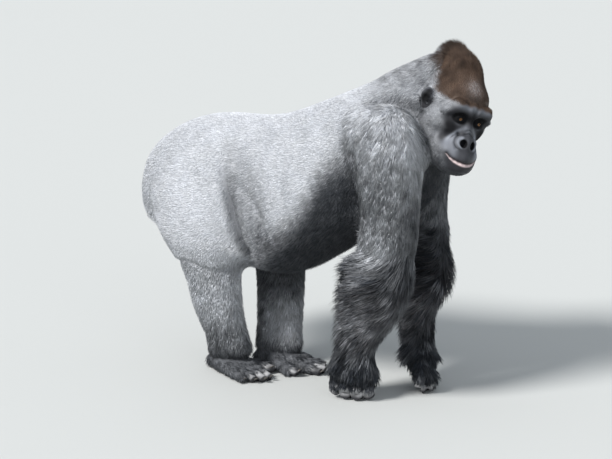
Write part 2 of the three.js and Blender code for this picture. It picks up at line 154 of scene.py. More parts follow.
def set_values(mesh, name, values, kind="FLOAT"):
    slot_of = {"FLOAT": "value", "FLOAT_COLOR": "color"}
    layer = mesh.attributes.new(name, kind, "POINT")
    layer.data.foreach_set(slot_of[kind], flat(values))


def waves(points, scale, seed):
    """A smooth wandering value between about -1 and 1."""
    rng = np.random.default_rng(seed)
    total = np.zeros(len(points))
    for _ in range(5):
        way = unit(rng.normal(size=3))
        total += np.sin(points @ way * (scale * rng.uniform(0.7, 1.5)) + rng.uniform(0, 6.3))
    return total / 2.2


def relaxed(values, edges, repeats, share=0.5):
    """Values at the points of a net, each drawn towards the mean of its neighbours."""
    rows = values.reshape(len(values), -1).astype(float)
    a, b = edges.T
    total = len(rows)
    count = np.maximum(np.bincount(a, minlength=total) + np.bincount(b, minlength=total), 1)
    for _ in range(repeats):
        mean = np.empty_like(rows)
        for k in range(rows.shape[1]):
            from_b = np.bincount(a, rows[b, k], total)
            mean[:, k] = (from_b + np.bincount(b, rows[a, k], total)) / count
        rows = rows + (mean - rows) * np.broadcast_to(share, (total,))[:, None]
    return rows.reshape(values.shape)


# -------- the head's frame
HEAD_TURN = np.array(
    Matrix.Rotation(math.radians(HEAD_YAW), 3, "Z")
    @ Matrix.Rotation(math.radians(HEAD_PITCH), 3, "Y")
    @ Matrix.Rotation(math.radians(HEAD_ROLL), 3, "X")
)


def middle(node):
    low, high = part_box(node)
    return np.array((low + high) / 2)


BETWEEN_EYES = (middle("eye_right") + middle("eye_left")) / 2
EYES_AHEAD = HEAD_TURN @ np.array([EYE_CENTRE[0], 0, EYE_CENTRE[2]])
HEAD_CENTRE = BETWEEN_EYES - EYES_AHEAD / 1000
HEAD_IN_PART = np.array([525.0, -72.0, 939.0])  # millimetres, where the solids were drawn
CAD_MIDDLE = (HEAD_IN_PART + EYES_AHEAD - BETWEEN_EYES * 1000)[:2]  # the frame's origin there


def to_head(points):
    return (points - HEAD_CENTRE) @ HEAD_TURN * 1000


def from_head(local):
    return np.asarray(local, float) / 1000 @ HEAD_TURN.T + HEAD_CENTRE


def one_side(local):
    """Both sides of the head taken to its left side."""
    return local * (1, 0, 1) + np.abs(local) * (0, 1, 0)


# -------- smooth forms
# A form gives each point's distance to its surface, below zero inside.
def ball(at, radii):
    at, radii = np.array(at, float), np.array(radii, float)

    def distance(p):
        q = (p - at) / radii
        inner = np.linalg.norm(q, axis=1)
        outer = np.linalg.norm(q / radii, axis=1)
        return inner * (inner - 1.0) / np.maximum(outer, 1e-9)

    return distance


def stick(start, end, thick, thin):
    start, end = np.array(start, float), np.array(end, float)
    along = end - start

    def distance(p):
        off = p - start
        share = np.clip(off @ along / (along @ along), 0, 1)
        return np.linalg.norm(off - share[:, None] * along, axis=1) - mix(thick, thin, share)

    return distance


def ring(at, axis, radius, thickness):
    at, axis = np.array(at, float), unit(np.array(axis, float))

    def distance(p):
        off = p - at
        height = off @ axis
        outward = np.linalg.norm(off - height[:, None] * axis, axis=1)
        return np.hypot(outward - radius, height) - thickness

    return distance


def softly(a, b, k):
    h = np.maximum(k - np.abs(a - b), 0) / k
    return np.minimum(a, b) - h * h * k / 4


def joined(parts):
    def distance(p):
        near = np.full(len(p), 1e6)
        for k, form in parts:
            near = softly(near, form(p), k)
        return near

    return distance


def carved(form, cutters):
    def distance(p):
        near = form(p)
        for k, cutter in cutters:
            near = -softly(-near, cutter(p), k)
        return near

    return distance


def both(make):
    return [make(-1), make(1)]


def slope(form, points, here, step=0.25):
    rise = [form(points + np.eye(3)[k] * step) - here for k in range(3)]
    return np.stack(rise, axis=1) / step


def drawn_onto(points, form, repeats=7, stride=3.0):
    """Points moved along the form's slope until they lie on its surface."""
    for _ in range(repeats):
        here = form(points)
        way = slope(form, points, here)
        steep = np.maximum((way * way).sum(1), 0.25)
        points = points - (np.clip(here, -stride, stride) / steep)[:, None] * way
    return points


# -------- camera, light and floor
AIM = Vector((*(-CAD_MIDDLE / 1000), 0.495))
CAMERA_DISTANCE = 6.5
CAMERA_AZIMUTH, CAMERA_ELEVATION = 25.0, 14.0
LENS = 115.86


def add_camera():
    turn, rise = math.radians(CAMERA_AZIMUTH), math.radians(CAMERA_ELEVATION)
    way = Vector((math.sin(turn) * math.cos(rise), -math.cos(turn) * math.cos(rise), math.sin(rise)))
    bpy.ops.object.camera_add(location=AIM + way * CAMERA_DISTANCE)
    camera = bpy.context.active_object
    camera.name = "camera"
    camera.rotation_euler = (-way).to_track_quat("-Z", "Y").to_euler()
    camera.data.lens = LENS
    camera.data.sensor_width = 36
    bpy.context.scene.camera = camera


def add_lamp(name, towards, strength, spread, colour):
    bpy.ops.object.light_add(type="SUN", location=(0, 0, 3))
    lamp = bpy.context.active_object
    lamp.name = name
    lamp.rotation_euler = (-Vector(towards)).to_track_quat("-Z", "Y").to_euler()
    lamp.data.energy = strength
    lamp.data.angle = math.radians(spread)
    lamp.data.color = colour


def light_the_studio():
    add_lamp("key_light", (-0.36, -0.66, 0.66), 3.6, 16, (1.0, 0.99, 0.97))
    add_lamp("side_light", (0.60, -0.75, 0.30), 0.42, 50, (0.95, 0.975, 1.0))
    world = bpy.data.worlds.new("studio")
    bpy.context.scene.world = world
    world.use_nodes = True
    sky = world.node_tree.nodes["Background"]
    sky.inputs["Color"].default_value = (0.86, 0.93, 1.0, 1)
    sky.inputs["Strength"].default_value = 0.5
    bpy.context.scene.view_settings.view_transform = "Standard"


def add_floor():
    bpy.ops.mesh.primitive_plane_add(size=60, location=(0, 0, 0))
    floor = bpy.context.active_object
    floor.name = "studio_floor"
    floor.data.name = "studio_floor"
    material, tree, shader = new_material("pale_floor")
    seen = tree.nodes.new("ShaderNodeLightPath")
    directly = sum_of(tree, "MAXIMUM", seen.outputs["Is Camera Ray"], seen.outputs["Is Glossy Ray"])
    directly = sum_of(tree, "MAXIMUM", directly, seen.outputs["Is Transmission Ray"])
    colour = blend_colours(tree, directly, (0.38, 0.39, 0.38, 1), (0.63, 0.64, 0.63, 1))
    tree.links.new(colour, shader.inputs["Base Color"])
    shader.inputs["Roughness"].default_value = 0.9
    shader.inputs["Specular IOR Level"].default_value = 0.1
    floor.data.materials.append(material)


# -------- the head's form
CROWN = (-76, 0, 106)


def eye_at(s):
    return (EYE_CENTRE[0], EYE_CENTRE[1] * s, EYE_CENTRE[2])


def bare_head():
    """The head without its eyes, mouth and nostrils."""
    return joined(
        [
            (1, ball((-18, 0, 20), (116, 90, 96))),  # skull
            (60, ball(CROWN, (94, 58, 120))),  # crest and the pad over it
            (50, ball((4, 0, 110), (78, 62, 92))),  # forehead
            (30, ball((40, 0, 66), (78, 81, 56))),  # its slope down to the brow
            (60, ball((-92, 0, 34), (66, 84, 104))),  # nape
            *both(lambda s: (55, ball((-4, 62 * s, -8), (74, 50, 96)))),  # temples and jaw muscles
            *both(lambda s: (24, stick((115, 10 * s, 34), (110, 54 * s, 37), 18.5, 16.5))),  # brow ridge
            *both(lambda s: (22, stick((110, 54 * s, 37), (90, 82 * s, 12), 16.5, 13.5))),  # its outer end
            *both(lambda s: (34, stick((84, 56 * s, -28), (52, 76 * s, -18), 20, 24))),  # cheekbones
            (34, ball((88, 0, -34), (36, 52, 44))),  # middle of the face
            (18, stick((110, 0, 4), (125, 0, -46), 11, 15)),  # bridge of the nose
            *both(lambda s: (8, ring((132, 17 * s, -66), (0.88, 0.3 * s, -0.36), 14, 7.5))),  # wings
            *both(lambda s: (10, stick((128, 33 * s, -62), (134, 31 * s, -84), 7, 5))),  # their ends
            (10, ball((139, 0, -60), (12, 9, 15))),  # tip between the wings
            (32, ball((92, 0, -97), (62, 56, 42))),  # muzzle
            *both(lambda s: (20, stick((143, 0, -111), (116, 46 * s, -102), 15, 13))),  # upper lip
            *both(lambda s: (14, stick((141, 0, -138), (114, 44 * s, -128), 12, 10.5))),  # lower lip
            (30, ball((108, 0, -136), (36, 42, 32))),  # chin
            *both(lambda s: (50, stick((6, 64 * s, -96), (98, 32 * s, -130), 36, 28))),  # jaw
            (40, ball((26, 0, -112), (76, 62, 46))),  # throat
        ]
    )


MOUTH_ACROSS = (0, 16, 32, 46, 56)  # millimetres from the middle, and the height of the mouth there
MOUTH_HEIGHT = (-125, -124.5, -122, -117, -109)

# Furrows of the face: places across and heights, how deep they lie, their radius and softness.
FURROWS = [
    (((30, -44), (40, -54), (43, -68), (38, -84)), 0.0, 3.0, 9),  # beside the nose
    (((1, -24), (13, -30)), -0.4, 1.8, 4),  # wrinkles over the bridge
    (((1, -34), (15, -39)), -0.4, 1.8, 4),
    (((1, 24), (7, 40)), 0.0, 4.0, 10),  # dip in the middle of the brow
]


def cuts_along(across, heights, deep, radius, softness, shift):
    """A furrow cut along a path that lies on the face."""
    before_the_face = 190.0
    places = np.stack([np.full(len(across), before_the_face), across, heights], axis=1)
    form = bare_head()
    for _ in range(40):
        places[:, 0] -= form(places)
    places[:, 0] -= deep - shift
    cuts = []
    for s in (-1, 1):
        for start, end in zip(places * (1, s, 1), places[1:] * (1, s, 1)):
            cuts.append((softness, stick(start, end, radius, radius)))
    return cuts


def grooves(shift):
    cuts = []
    for path, deep, radius, softness in FURROWS:
        across, heights = zip(*path)
        cuts += cuts_along(across, heights, deep, radius, softness, shift * 0.4)
    return cuts


def head_forms(progress=1.0):
    """The whole head. The hollows are cut to their full depth when progress is 1."""
    shift = 16 * (1 - progress)
    hollows = carved(
        bare_head(),
        [
            *both(lambda s: (8, ball((135 + shift, 37 * s, 1), (31, 30, 19)))),  # eye sockets
            *grooves(shift),
        ],
    )
    lidded = joined(
        [
            (1, hollows),
            *both(lambda s: (5, ball(eye_at(s), (15.4, 16.2, 15.4)))),
            *both(lambda s: (4, stick((114, 22 * s, 10), (108, 48 * s, 12), 4.5, 4))),  # upper lids
            *both(lambda s: (8, stick((112, 22 * s, -15), (104, 52 * s, -13), 4, 3.5))),  # lower lids
            *both(lambda s: (10, stick((113, 20 * s, -24), (101, 54 * s, -24), 4, 4))),  # bags below them
        ]
    )
    return carved(
        lidded,
        [
            *both(lambda s: (2.5, ball((123 + shift, 35 * s, -1.0), (14, 13.5, 5.4)))),  # between lids
            *both(lambda s: (4, ball((146 + shift, 16 * s, -67), (19, 9.5, 11.5)))),  # nostrils
            (5, stick((148 + shift, 0, -80), (152 + shift, 0, -96), 2.6, 1.4)),  # groove below the nose
            *cuts_along(MOUTH_ACROSS, MOUTH_HEIGHT, 1.0, 2.5, 6, shift * 0.4),
        ],
    )


HEAD_FORM = head_forms()
EAR_AT = (19.0, 118.0, 31.0)  # millimetres, in the head's frame
EAR_SIZE = 1.42
EAR_RIM = (15.5, 22.5)  # half its width and half its height, in the ear's own frame
EAR_TURN = {
    s: np.array(
        Matrix.Rotation(math.radians(-24 * s), 3, "Z")
        @ Matrix.Rotation(math.radians(-8 * s), 3, "X")
        @ Matrix.Rotation(math.radians(14), 3, "Y")
    )
    for s in (-1, 1)
}


def in_ear(local, s):
    """Points of the head's frame taken to an ear's own frame, in which Y points out of its dish."""
    root = np.array(EAR_AT) * (1, s, 1)
    return ((local - root) @ EAR_TURN[s] / EAR_SIZE) * (1, s, 1)


def around_ear(q):
    return np.hypot(q[:, 0] / EAR_RIM[0], q[:, 2] / EAR_RIM[1])


def ear_form(s):
    """A small dish with a rolled rim, in the head's frame."""
    dish = joined(
        [
            (1, ball((0, 0, 0), (18, 3.5, 24))),
            (5, ball((0, -15, 0), (17, 17, 17))),
            (3, stick((6, 2, 10), (9, 3, -8), 2.6, 3)),  # inner fold
            (4, ball((12, 3, -3), (5, 5, 6))),  # small lobe before the opening
        ]
    )
    hollow = ball((1, 6, -4), (8.5, 11, 11))

    def distance(p):
        q = in_ear(p, s)
        rim = np.hypot((around_ear(q) - 1) * 17.5, q[:, 1] - 5) - 4.0
        whole = softly(dish(q), rim, 3)
        return -softly(-whole, hollow(q), 3) * EAR_SIZE

    return distance


def ear_room(s):
    """The head falls back here, so that the ear stands clear of it."""
    room = ball((0, 13, 0), (26, 13, 34))
    return lambda p: room(in_ear(p, s)) * EAR_SIZE


FACE_HEIGHTS = (-160, -150, -113, -83, -50, -15, 10, 37, 50)
FACE_WIDTHS = (28, 44, 66, 67, 72, 82, 86, 74, 40)


def face_share(local):
    """One on the bare face, none where hair grows."""
    x, y, z = local.T
    edge = np.interp(z, FACE_HEIGHTS, FACE_WIDTHS) + 2.5 * np.sin(z * 0.21) * np.sin(x * 0.13)
    front = ramp(x, 60, 86) * (1 - ramp(np.abs(y) - edge, -13, 9))
    return front * (1 - ramp(z + 2 * np.sin(y * 0.2), 37, 54)) * ramp(z, -162, -148)


# Lighter places of the bare face: place, radii and how light. They are partly the skin's own paler tone
# and partly painted highlight, most of all on the brow ridge.
FACE_LIGHTS = [
    ((150, 0, -104), (20, 24, 12), 0.08),  # upper lip
    ((126, 6, -26), (20, 10, 12), 0.32),  # bridge
    ((122, 28, 40), (30, 52, 10), 0.48),  # the brow ridge
    ((110, 42, -16), (14, 16, 5), 0.16),  # bags under the eyes
    ((126, 0, 51), (16, 15, 7), 0.35),  # bare middle of the forehead's foot
]
CHEEK_ACROSS = (0, 12, 25, 39, 45, 57, 70)  # the edge between the muzzle and the dark cheek
CHEEK_HEIGHT = (-8, -12, -22, -36, -46, -70, -92)
NOSE_WING = (140, 17, -66)


def face_tone(local):
    """How light the bare skin of the face is, from 0 to 1: its own paler places, with painted highlights
    on the brow ridge, the rims of the nose wings and the sides of the muzzle.
    """
    half = one_side(local)
    across, height = half[:, 1], half[:, 2]
    below = np.interp(across, CHEEK_ACROSS, CHEEK_HEIGHT) - height
    over_lip = height - np.interp(across, MOUTH_ACROSS, MOUTH_HEIGHT)
    # The muzzle grows paler towards its sides, partly its own paler skin and partly a painted highlight.
    tone = ramp(below, -4, 10) * ramp(over_lip, -4, 16) * mix(0.05, 0.50, ramp(across, 20, 44))
    tone += 0.30 * bell(below - 7, 7) * ramp(across, 8, 16) * (1 - ramp(across, 50, 64))
    from_wing = reach(half, NOSE_WING, (22, 21, 20))
    tone = mix(tone, 0.14, 1 - ramp(from_wing, 0.9, 1.3))
    # Painted highlight along the rims of the nose wings.
    tone += 0.75 * bell(from_wing - 0.82, 0.16) * ramp(across, 14, 26)
    for at, radii, light in FACE_LIGHTS:
        tone += light * spot(half, at, radii)
    return np.clip(tone * (1 + 0.16 * waves(local, 0.16, 31)), 0, 1)


def socket_share(local):
    """One where the skin is darkest: around the eyes, on the cheeks and beside the nose. Partly the skin's
    own dark colour, partly painted shade in the eye sockets and in the groove round the nose wings.
    """
    half = one_side(local)
    socket = 1 - ramp(reach(half, (118, 37, 3), (36, 32, 22)), 0.66, 1.06)
    cheek = 1 - ramp(reach(half, (104, 58, -32), (40, 27, 31)), 0.4, 1.1)
    between_eyes = 1 - ramp(reach(half, (124, 0, 7), (28, 20, 17)), 0.5, 1.1)
    below = np.interp(half[:, 1], CHEEK_ACROSS, CHEEK_HEIGHT) - half[:, 2]
    cheek = 0.8 * cheek * (1 - ramp(below, -8, 4))
    groove = 0.7 * bell(reach(half, NOSE_WING, (26, 25, 24)) - 1.05, 0.09) * ramp(half[:, 1], 22, 32)
    return np.clip(np.maximum.reduce([socket, cheek, 0.85 * between_eyes, groove]), 0, 1)


def lip_share(local):
    """One on the pale edge of the lower lip."""
    across = np.abs(local[:, 1])
    below = np.interp(across, MOUTH_ACROSS, MOUTH_HEIGHT) - local[:, 2]
    wide = np.interp(across, (0, 30, 60), (10, 8, 3.5))
    band = ramp(below, -0.3, 3.2) * (1 - ramp(below - wide, -2.5, 2))
    return band * ramp(local[:, 0], 96, 112) * (1 - ramp(across, 50, 62))


def dark_share(local):
    """Painted shade: one inside the nostrils, on the line of the mouth and between the lids."""
    half = one_side(local)
    across = half[:, 1]
    nostril = 1 - ramp(ball((146, 16, -67), (21, 11.5, 13.5))(half), -0.8, 1.2)
    below = np.interp(across, MOUTH_ACROSS, MOUTH_HEIGHT) - half[:, 2]
    mouth = (1 - ramp(np.abs(below + 0.6), 0.8, 3.4)) * (half[:, 0] > 100) * (1 - ramp(across, 54, 62))
    lids = 1 - ramp(ball((123, 35, -1), (15.5, 15, 7))(half), -1, 2)
    return np.clip(nostril + mouth + lids, 0, 1)


def near_ear(local):
    return 1 - ramp(reach(one_side(local), EAR_AT), 36, 56)


def off_the_ear(local):
    """Millimetres from each point to the skin of the nearer ear."""
    return np.abs(ear_form(1)(one_side(local)))


def ear_share(local):
    """One on the bare skin of an ear."""
    return 1 - ramp(off_the_ear(local), 1.5, 4.5)


def ear_marks(local):
    """How light the rim of an ear is, as a painted highlight, and how dark the hollow inside it, as
    painted shade.
    """
    q = in_ear(one_side(local), 1)
    around, share = around_ear(q), ear_share(local)
    light = 0.30 * bell(around - 0.9, 0.14) * ramp(q[:, 2], -6, 8)
    dark = mix(0.35, 0.95, 1 - ramp(around, 0.5, 0.8))
    return light * share, dark * share


def head_coat_depth(local):
    """Millimetres of hair over the head's skin: none on the face, most on the crest."""
    depth = 3.5 + 5.5 * ramp(-local[:, 0], -70, 10) + 13 * ramp(local[:, 2], 120, 205)
    return (1 - face_share(local)) * mix(depth, 3.0, near_ear(local))


# -------- hands and feet
FINGERS = [(57, 1.0, -5), (20, 1.08, 4), (-19, 1.06, 2), (-56, 0.94, -8)]  # across, size, lead
# Across, start, length and size of each toe.
TOES = [(36, 164, 72, 1.04), (10, 168, 74, 1.02), (-17, 160, 68, 0.98), (-41, 144, 58, 0.9)]
HANDS = {
    "right": {"at": (248, -179), "turn": -80, "wrist": (256, -186)},
    "left": {"at": (428, 20), "turn": 22, "wrist": (390, 46)},
}
FEET = {"right": {"at": (-296, -60), "turn": -27}, "left": {"at": (-172, 42), "turn": -4}}
FLOOR_LEVEL = 0.3  # the lowest that skin reaches, in millimetres


def paw_frame(paws, side):
    """Takes (out, across, up) of a hand or foot to the model's frame, in millimetres."""
    at, facing = paws[side]["at"], math.radians(paws[side]["turn"])

    def place(out, across, up):
        across = -across * SIDES[side]
        x = at[0] - CAD_MIDDLE[0] + out * math.cos(facing) - across * math.sin(facing)
        y = at[1] - CAD_MIDDLE[1] + out * math.sin(facing) + across * math.cos(facing)
        return (x, y, up)

    return place


def foot_places(points, side):
    """How far out, across and up from the foot's own middle each point lies, in millimetres."""
    at, facing = FEET[side]["at"], math.radians(FEET[side]["turn"])
    x = points[:, 0] * 1000 + CAD_MIDDLE[0] - at[0]
    y = points[:, 1] * 1000 + CAD_MIDDLE[1] - at[1]
    out = x * math.cos(facing) + y * math.sin(facing)
    across = (x * math.sin(facing) - y * math.cos(facing)) * SIDES[side]
    return out, across, points[:, 2] * 1000


def chain(points, radii, k=3):
    return [(k, stick(a, b, ra, rb)) for a, b, ra, rb in zip(points, points[1:], radii, radii[1:])]


def hand_form(side):
    place = paw_frame(HANDS, side)
    wrist = [v - m for v, m in zip(HANDS[side]["wrist"], CAD_MIDDLE)]
    rest = 14.4  # height of the last knuckles
    fingers = []
    for across, size, lead in FINGERS:
        bends = [
            place(-12, across * 0.8, 92),
            place(2, across * 0.92, 66),
            place(24 + lead, across, rest + 12),
            place(8 + lead, across, rest),
            place(-22, across * 0.97, rest + 3),
            place(-36, across * 0.9, rest + 24),
        ]
        radii = [20, 18.5, 16.8 * size, 16.5 * size, 15 * size, 12]
        fingers.append((2.5, joined(chain(bends, radii, 6))))
    palm = [place(-14, 0, 62), place(-12, 4, 96), (*wrist, 128), (*wrist, 190)]
    thumb = [place(-22, 52, 96), place(-26, 66, 74), place(-24, 68, 50), place(-22, 62, 32)]
    return joined(
        [*fingers, *chain(palm, [32, 46, 50, 50], 12), *chain(thumb, [20, 16, 14, 10.5], 6)]
    )


def foot_form(side):
    place = paw_frame(FEET, side)
    rest = 10.9  # height of the toes' ends
    toes = []
    for across, start, long, size in TOES:
        bends = [
            place(start - 46, across * 0.8, 27),
            place(start, across, rest + 8),
            place(start + long * 0.5, across * 1.06, rest + 5),
            place(start + long, across * 1.08, rest),
        ]
        toes.append((2.5, joined(chain(bends, [20, 15.5 * size, 13.5 * size, 12.5 * size], 6))))
    big_toe = [place(58, 34, 26), place(104, 66, 19), place(142, 84, 17), place(172, 88, 15.5)]
    instep = [place(8, 0, 92), place(22, 0, 62), place(70, 6, 42), place(118, 4, 26)]
    soles = [[place(-6, e * 12, 26), place(60, e * 22, 28), place(128, e * 30, 22)] for e in (-1, 1)]
    parts = [*toes, *chain(big_toe, [24, 18.5, 16.5, 14.8], 6), *chain(instep, [46, 43, 34, 25], 14)]
    for sole in soles:
        parts += chain(sole, [28, 28.5, 22.5], 12)
    return joined(parts)


# -------- the skin's first shape
def joined_flesh():
    copies = []
    for node in FLESH:
        copy = bpy.data.objects.new(f"flesh_{node}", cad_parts[node].data.copy())
        bpy.context.scene.collection.objects.link(copy)
        copies.append(copy)
    skin = joined_as("skin", copies)
    skin.data.materials.clear()
    edit_all()
    bpy.ops.mesh.remove_doubles(threshold=0.00002)
    bpy.ops.transform.shrink_fatten(value=OVERLAP)
    stop_editing()
    remesh = skin.modifiers.new("one skin", "REMESH")
    remesh.mode = "VOXEL"
    remesh.voxel_size = SKIN_MESH
    bpy.ops.object.modifier_apply(modifier=remesh.name)
    return skin


def divide_where(skin, chosen):
    """Splits in four the faces whose middles are chosen."""
    mask = chosen(read_all(skin.data.polygons, "center", 3).astype(float))
    only(skin)
    bpy.context.tool_settings.mesh_select_mode = (False, False, True)
    edit_all("DESELECT")
    stop_editing()
    skin.data.polygons.foreach_set("select", mask)
    bpy.ops.object.mode_set(mode="EDIT")
    bpy.ops.mesh.subdivide(number_cuts=1, smoothness=0)
    stop_editing()


def share_of_parts(points, edges):
    """For each point, how much of it belongs to each part of the body, softened at the borders."""
    nearest = np.full(len(points), 1e3)
    owner = np.zeros(len(points), int)
    for index, node in enumerate(FLESH):
        low, high = (np.array(corner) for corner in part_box(node))
        near = np.where(((points > low - 0.05) & (points < high + 0.05)).all(1))[0]
        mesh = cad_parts[node].data
        tree = BVHTree.FromPolygons(
            [v.co for v in mesh.vertices], [tuple(p.vertices) for p in mesh.polygons]
        )
        for i in near:
            hit = tree.find_nearest(points[i])
            if hit[3] is not None and hit[3] < nearest[i]:
                nearest[i] = hit[3]
                owner[i] = index
    shares = np.eye(len(FLESH))[owner]
    return owner, relaxed(shares, edges, 6)


# -------- the coat, part by part
# How long the hair is, how deep the coat lies over the skin, how wide a tuft is (all metres), and
# how many tufts grow on a square metre.
COAT_VALUES = ("long", "deep", "wide", "many")
COAT = {
    "trunk": (0.018, 0.0055, 0.0019, 60000),
    "neck": (0.019, 0.006, 0.0016, 150000),
    "head": (0.010, 0.004, 0.0013, 215000),
    "ear": (0.011, 0.004, 0.0014, 200000),
    "upper_arm": (0.040, 0.010, 0.0020, 95000),
    "forearm": (0.064, 0.021, 0.0027, 60000),
    "hand": (0.032, 0.006, 0.0022, 80000),
    "thigh": (0.019, 0.006, 0.0019, 70000),
    "shank": (0.030, 0.012, 0.0023, 66000),
    "foot": (0.027, 0.004, 0.0021, 110000),
}


def kind_of(node):
    return node if node in COAT else node.rsplit("_", 1)[0]


def coat_values(name):
    """One of the coat's values for each part of FLESH."""
    return np.array([COAT[kind_of(node)][COAT_VALUES.index(name)] for node in FLESH])


def part_share(shares, kind):
    return shares[:, [kind_of(node) == kind for node in FLESH]].sum(1)


def part_share_of(shares, node):
    return shares[:, FLESH.index(node)]


def coat_depth(points, normals, shares):
    """Metres between the skin and the tips of the coat."""
    depth = shares @ coat_values("deep")
    under = ramp(-normals[:, 2], 0.1, 0.8) * part_share(shares, "trunk")
    behind = ramp(-normals[:, 0], 0.2, 0.9) * part_share(shares, "forearm")
    depth = depth + 0.012 * under + 0.022 * behind * ramp(points[:, 2], 0.14, 0.26)
    local = to_head(points)
    on_head = part_share(shares, "head")
    return mix(depth, head_coat_depth(local) / 1000, np.clip(on_head * 1.5, 0, 1))


# The line between shoulder and neck, on the near side and on the far side.
SHOULDER_LINE = [
    (0.315, -0.18, 0.997), (0.369, -0.16, 0.991), (0.408, -0.15, 0.956), (0.437, -0.16, 0.913),
]
SHOULDER_LINE_FAR = [(0.30, 0.19, 0.97), (0.36, 0.20, 0.94), (0.40, 0.19, 0.89)]

# Creases of the body: places, half width and how far the skin goes in there.
CREASES = [
    # hollow of the flank and the fold that runs forwards from the thigh
    ([(-0.205, -0.20, 0.70), (-0.171, -0.22, 0.675), (-0.127, -0.24, 0.640), (-0.085, -0.25, 0.60)],
     0.018, 0.006),
    ([(-0.215, -0.185, 0.80), (-0.155, -0.24, 0.72), (-0.095, -0.27, 0.61), (-0.075, -0.24, 0.50)],
     0.045, 0.012),
    ([(-0.200, 0.20, 0.80), (-0.140, 0.26, 0.72), (-0.085, 0.29, 0.61), (-0.065, 0.26, 0.50)],
     0.045, 0.012),
    # between the shoulder and the neck
    (SHOULDER_LINE + [(0.452, -0.15, 0.85)], 0.017, 0.022),
    (SHOULDER_LINE_FAR, 0.017, 0.014),
    # behind the shoulder
    ([(0.246, -0.28, 0.83), (0.244, -0.28, 0.77), (0.236, -0.25, 0.66)], 0.024, 0.014),
    ([(0.246, 0.28, 0.83), (0.244, 0.28, 0.77), (0.236, 0.25, 0.66)], 0.024, 0.014),
]


def distance_to_path(points, path):
    near = np.full(len(points), 1e3)
    for start, end in zip(path, path[1:]):
        start, end = np.array(start, float), np.array(end, float)
        along = end - start
        share = np.clip((points - start) @ along / (along @ along), 0, 1)
        near = np.minimum(near, np.linalg.norm(points - start - share[:, None] * along, axis=1))
    return near


def crease_depth(points):
    return sum(bell(distance_to_path(points, path), half) * move for path, half, move in CREASES)


FOLD_HEIGHTS = (0.46, 0.57, 0.68, 0.79)  # the fold in front of the thigh, from below
FOLD_PLACES = (-0.161, -0.195, -0.227, -0.255)
HEM_HEIGHT = 0.408  # where the thigh overhangs the shank


def ahead_of_fold(points):
    return points[:, 0] - np.interp(points[:, 2], FOLD_HEIGHTS, FOLD_PLACES)


def fold_window(points):
    y, z = points[:, 1], points[:, 2]
    return ramp(z, 0.40, 0.47) * (1 - ramp(z, 0.62, 0.79)) * ramp(np.abs(y - MID_LINE), 0.10, 0.17)


def fold_share(points):
    """One at the bottom of the fold, fading out over the flank."""
    ahead = ahead_of_fold(points)
    return ramp(ahead, -0.022, 0.010) * np.exp(-np.maximum(ahead, 0) / 0.055) * fold_window(points)


def hem_share(points):
    """One under the hem of the thigh."""
    down = HEM_HEIGHT + 0.012 * np.sin(points[:, 0] * 30) - points[:, 2]
    share = ramp(down, -0.006, 0.010) * np.exp(-np.maximum(down, 0) / 0.020)
    return share * (points[:, 0] < -0.10) * ramp(points[:, 2], 0.22, 0.30)


def cleft_share(points):
    """One along the middle of the rump, from behind."""
    x, y, z = points.T
    span = ramp(-x, 0.42, 0.54) * ramp(z, 0.36, 0.44) * (1 - ramp(z, 0.70, 0.82))
    return bell(y - MID_LINE, 0.017) * span


def folds_depth(points):
    """Metres that the skin goes in at the folds of the thigh, and out where the thigh swells."""
    swell = bell(ahead_of_fold(points) + 0.050, 0.036) * fold_window(points)
    deep = np.where(points[:, 1] > MID_LINE, 0.016, 0.030)
    folds = deep * fold_share(points) - 0.008 * swell + 0.013 * hem_share(points)
    return folds + 0.020 * cleft_share(points)


def crease_shade_share(points):
    shares = crease_depth(points) / 0.022 + 0.95 * fold_share(points) + 0.7 * hem_share(points)
    shares = shares + 0.6 * cleft_share(points)
    return np.clip(shares, 0, 1)


def fingers_and_toes(points):
    chosen = (points[:, 2] < 0.05) & (points[:, 0] > 0.05)
    for side in SIDES:
        out, across, up = foot_places(points, side)
        close = (np.hypot(out - 160, across) < 110) & (up < 46) & (points[:, 0] < 0.05)
        chosen |= close & ((out > 150) | (across > 52) & (out > 90))
    return chosen


def on_head_form(local):
    return np.abs(HEAD_FORM(local)) < 16


def fine_on_head(local):
    face = (local[:, 0] > 74) & (local[:, 2] < 60)
    ears = reach(one_side(local), EAR_AT) < 46
    return on_head_form(local) & (face | ears) | (ears & (np.abs(local[:, 1]) > 84))


def finest_on_head(local):
    """The eyes, the nose and the mouth."""
    half = one_side(local)
    across, height = half[:, 1], half[:, 2]
    eyes = reach(half, (116, 35, 0), (1.5, 1, 1)) < 23
    nose = (np.abs(height + 66) < 26) & (across < 40) & (half[:, 0] > 112)
    line = np.interp(across, MOUTH_ACROSS, MOUTH_HEIGHT)
    mouth = (np.abs(height - line + 3) < 11) & (half[:, 0] > 104)
    ears = (reach(half, EAR_AT) < 38) & (across > 100)
    return on_head_form(local) & (eyes | nose | mouth) | ears


def make_skin():
    skin = joined_flesh()
    points, edges = points_of(skin), edges_of(skin)
    detailed = on_head_form(to_head(points)) | (points[:, 2] < 0.13)
    hold = np.where(detailed, 0.12, 0.5)
    set_points(skin, relaxed(points, edges, 18, relaxed(hold, edges, 4)))
    for chosen in (
        lambda p: on_head_form(to_head(p)),
        lambda p: fine_on_head(to_head(p)),
        lambda p: finest_on_head(to_head(p)),
        lambda p: (np.abs(ahead_of_fold(p)) < 0.035) & (fold_window(p) > 0.05),
        lambda p: p[:, 2] < 0.075,
        fingers_and_toes,
    ):
        divide_where(skin, chosen)
    return skin


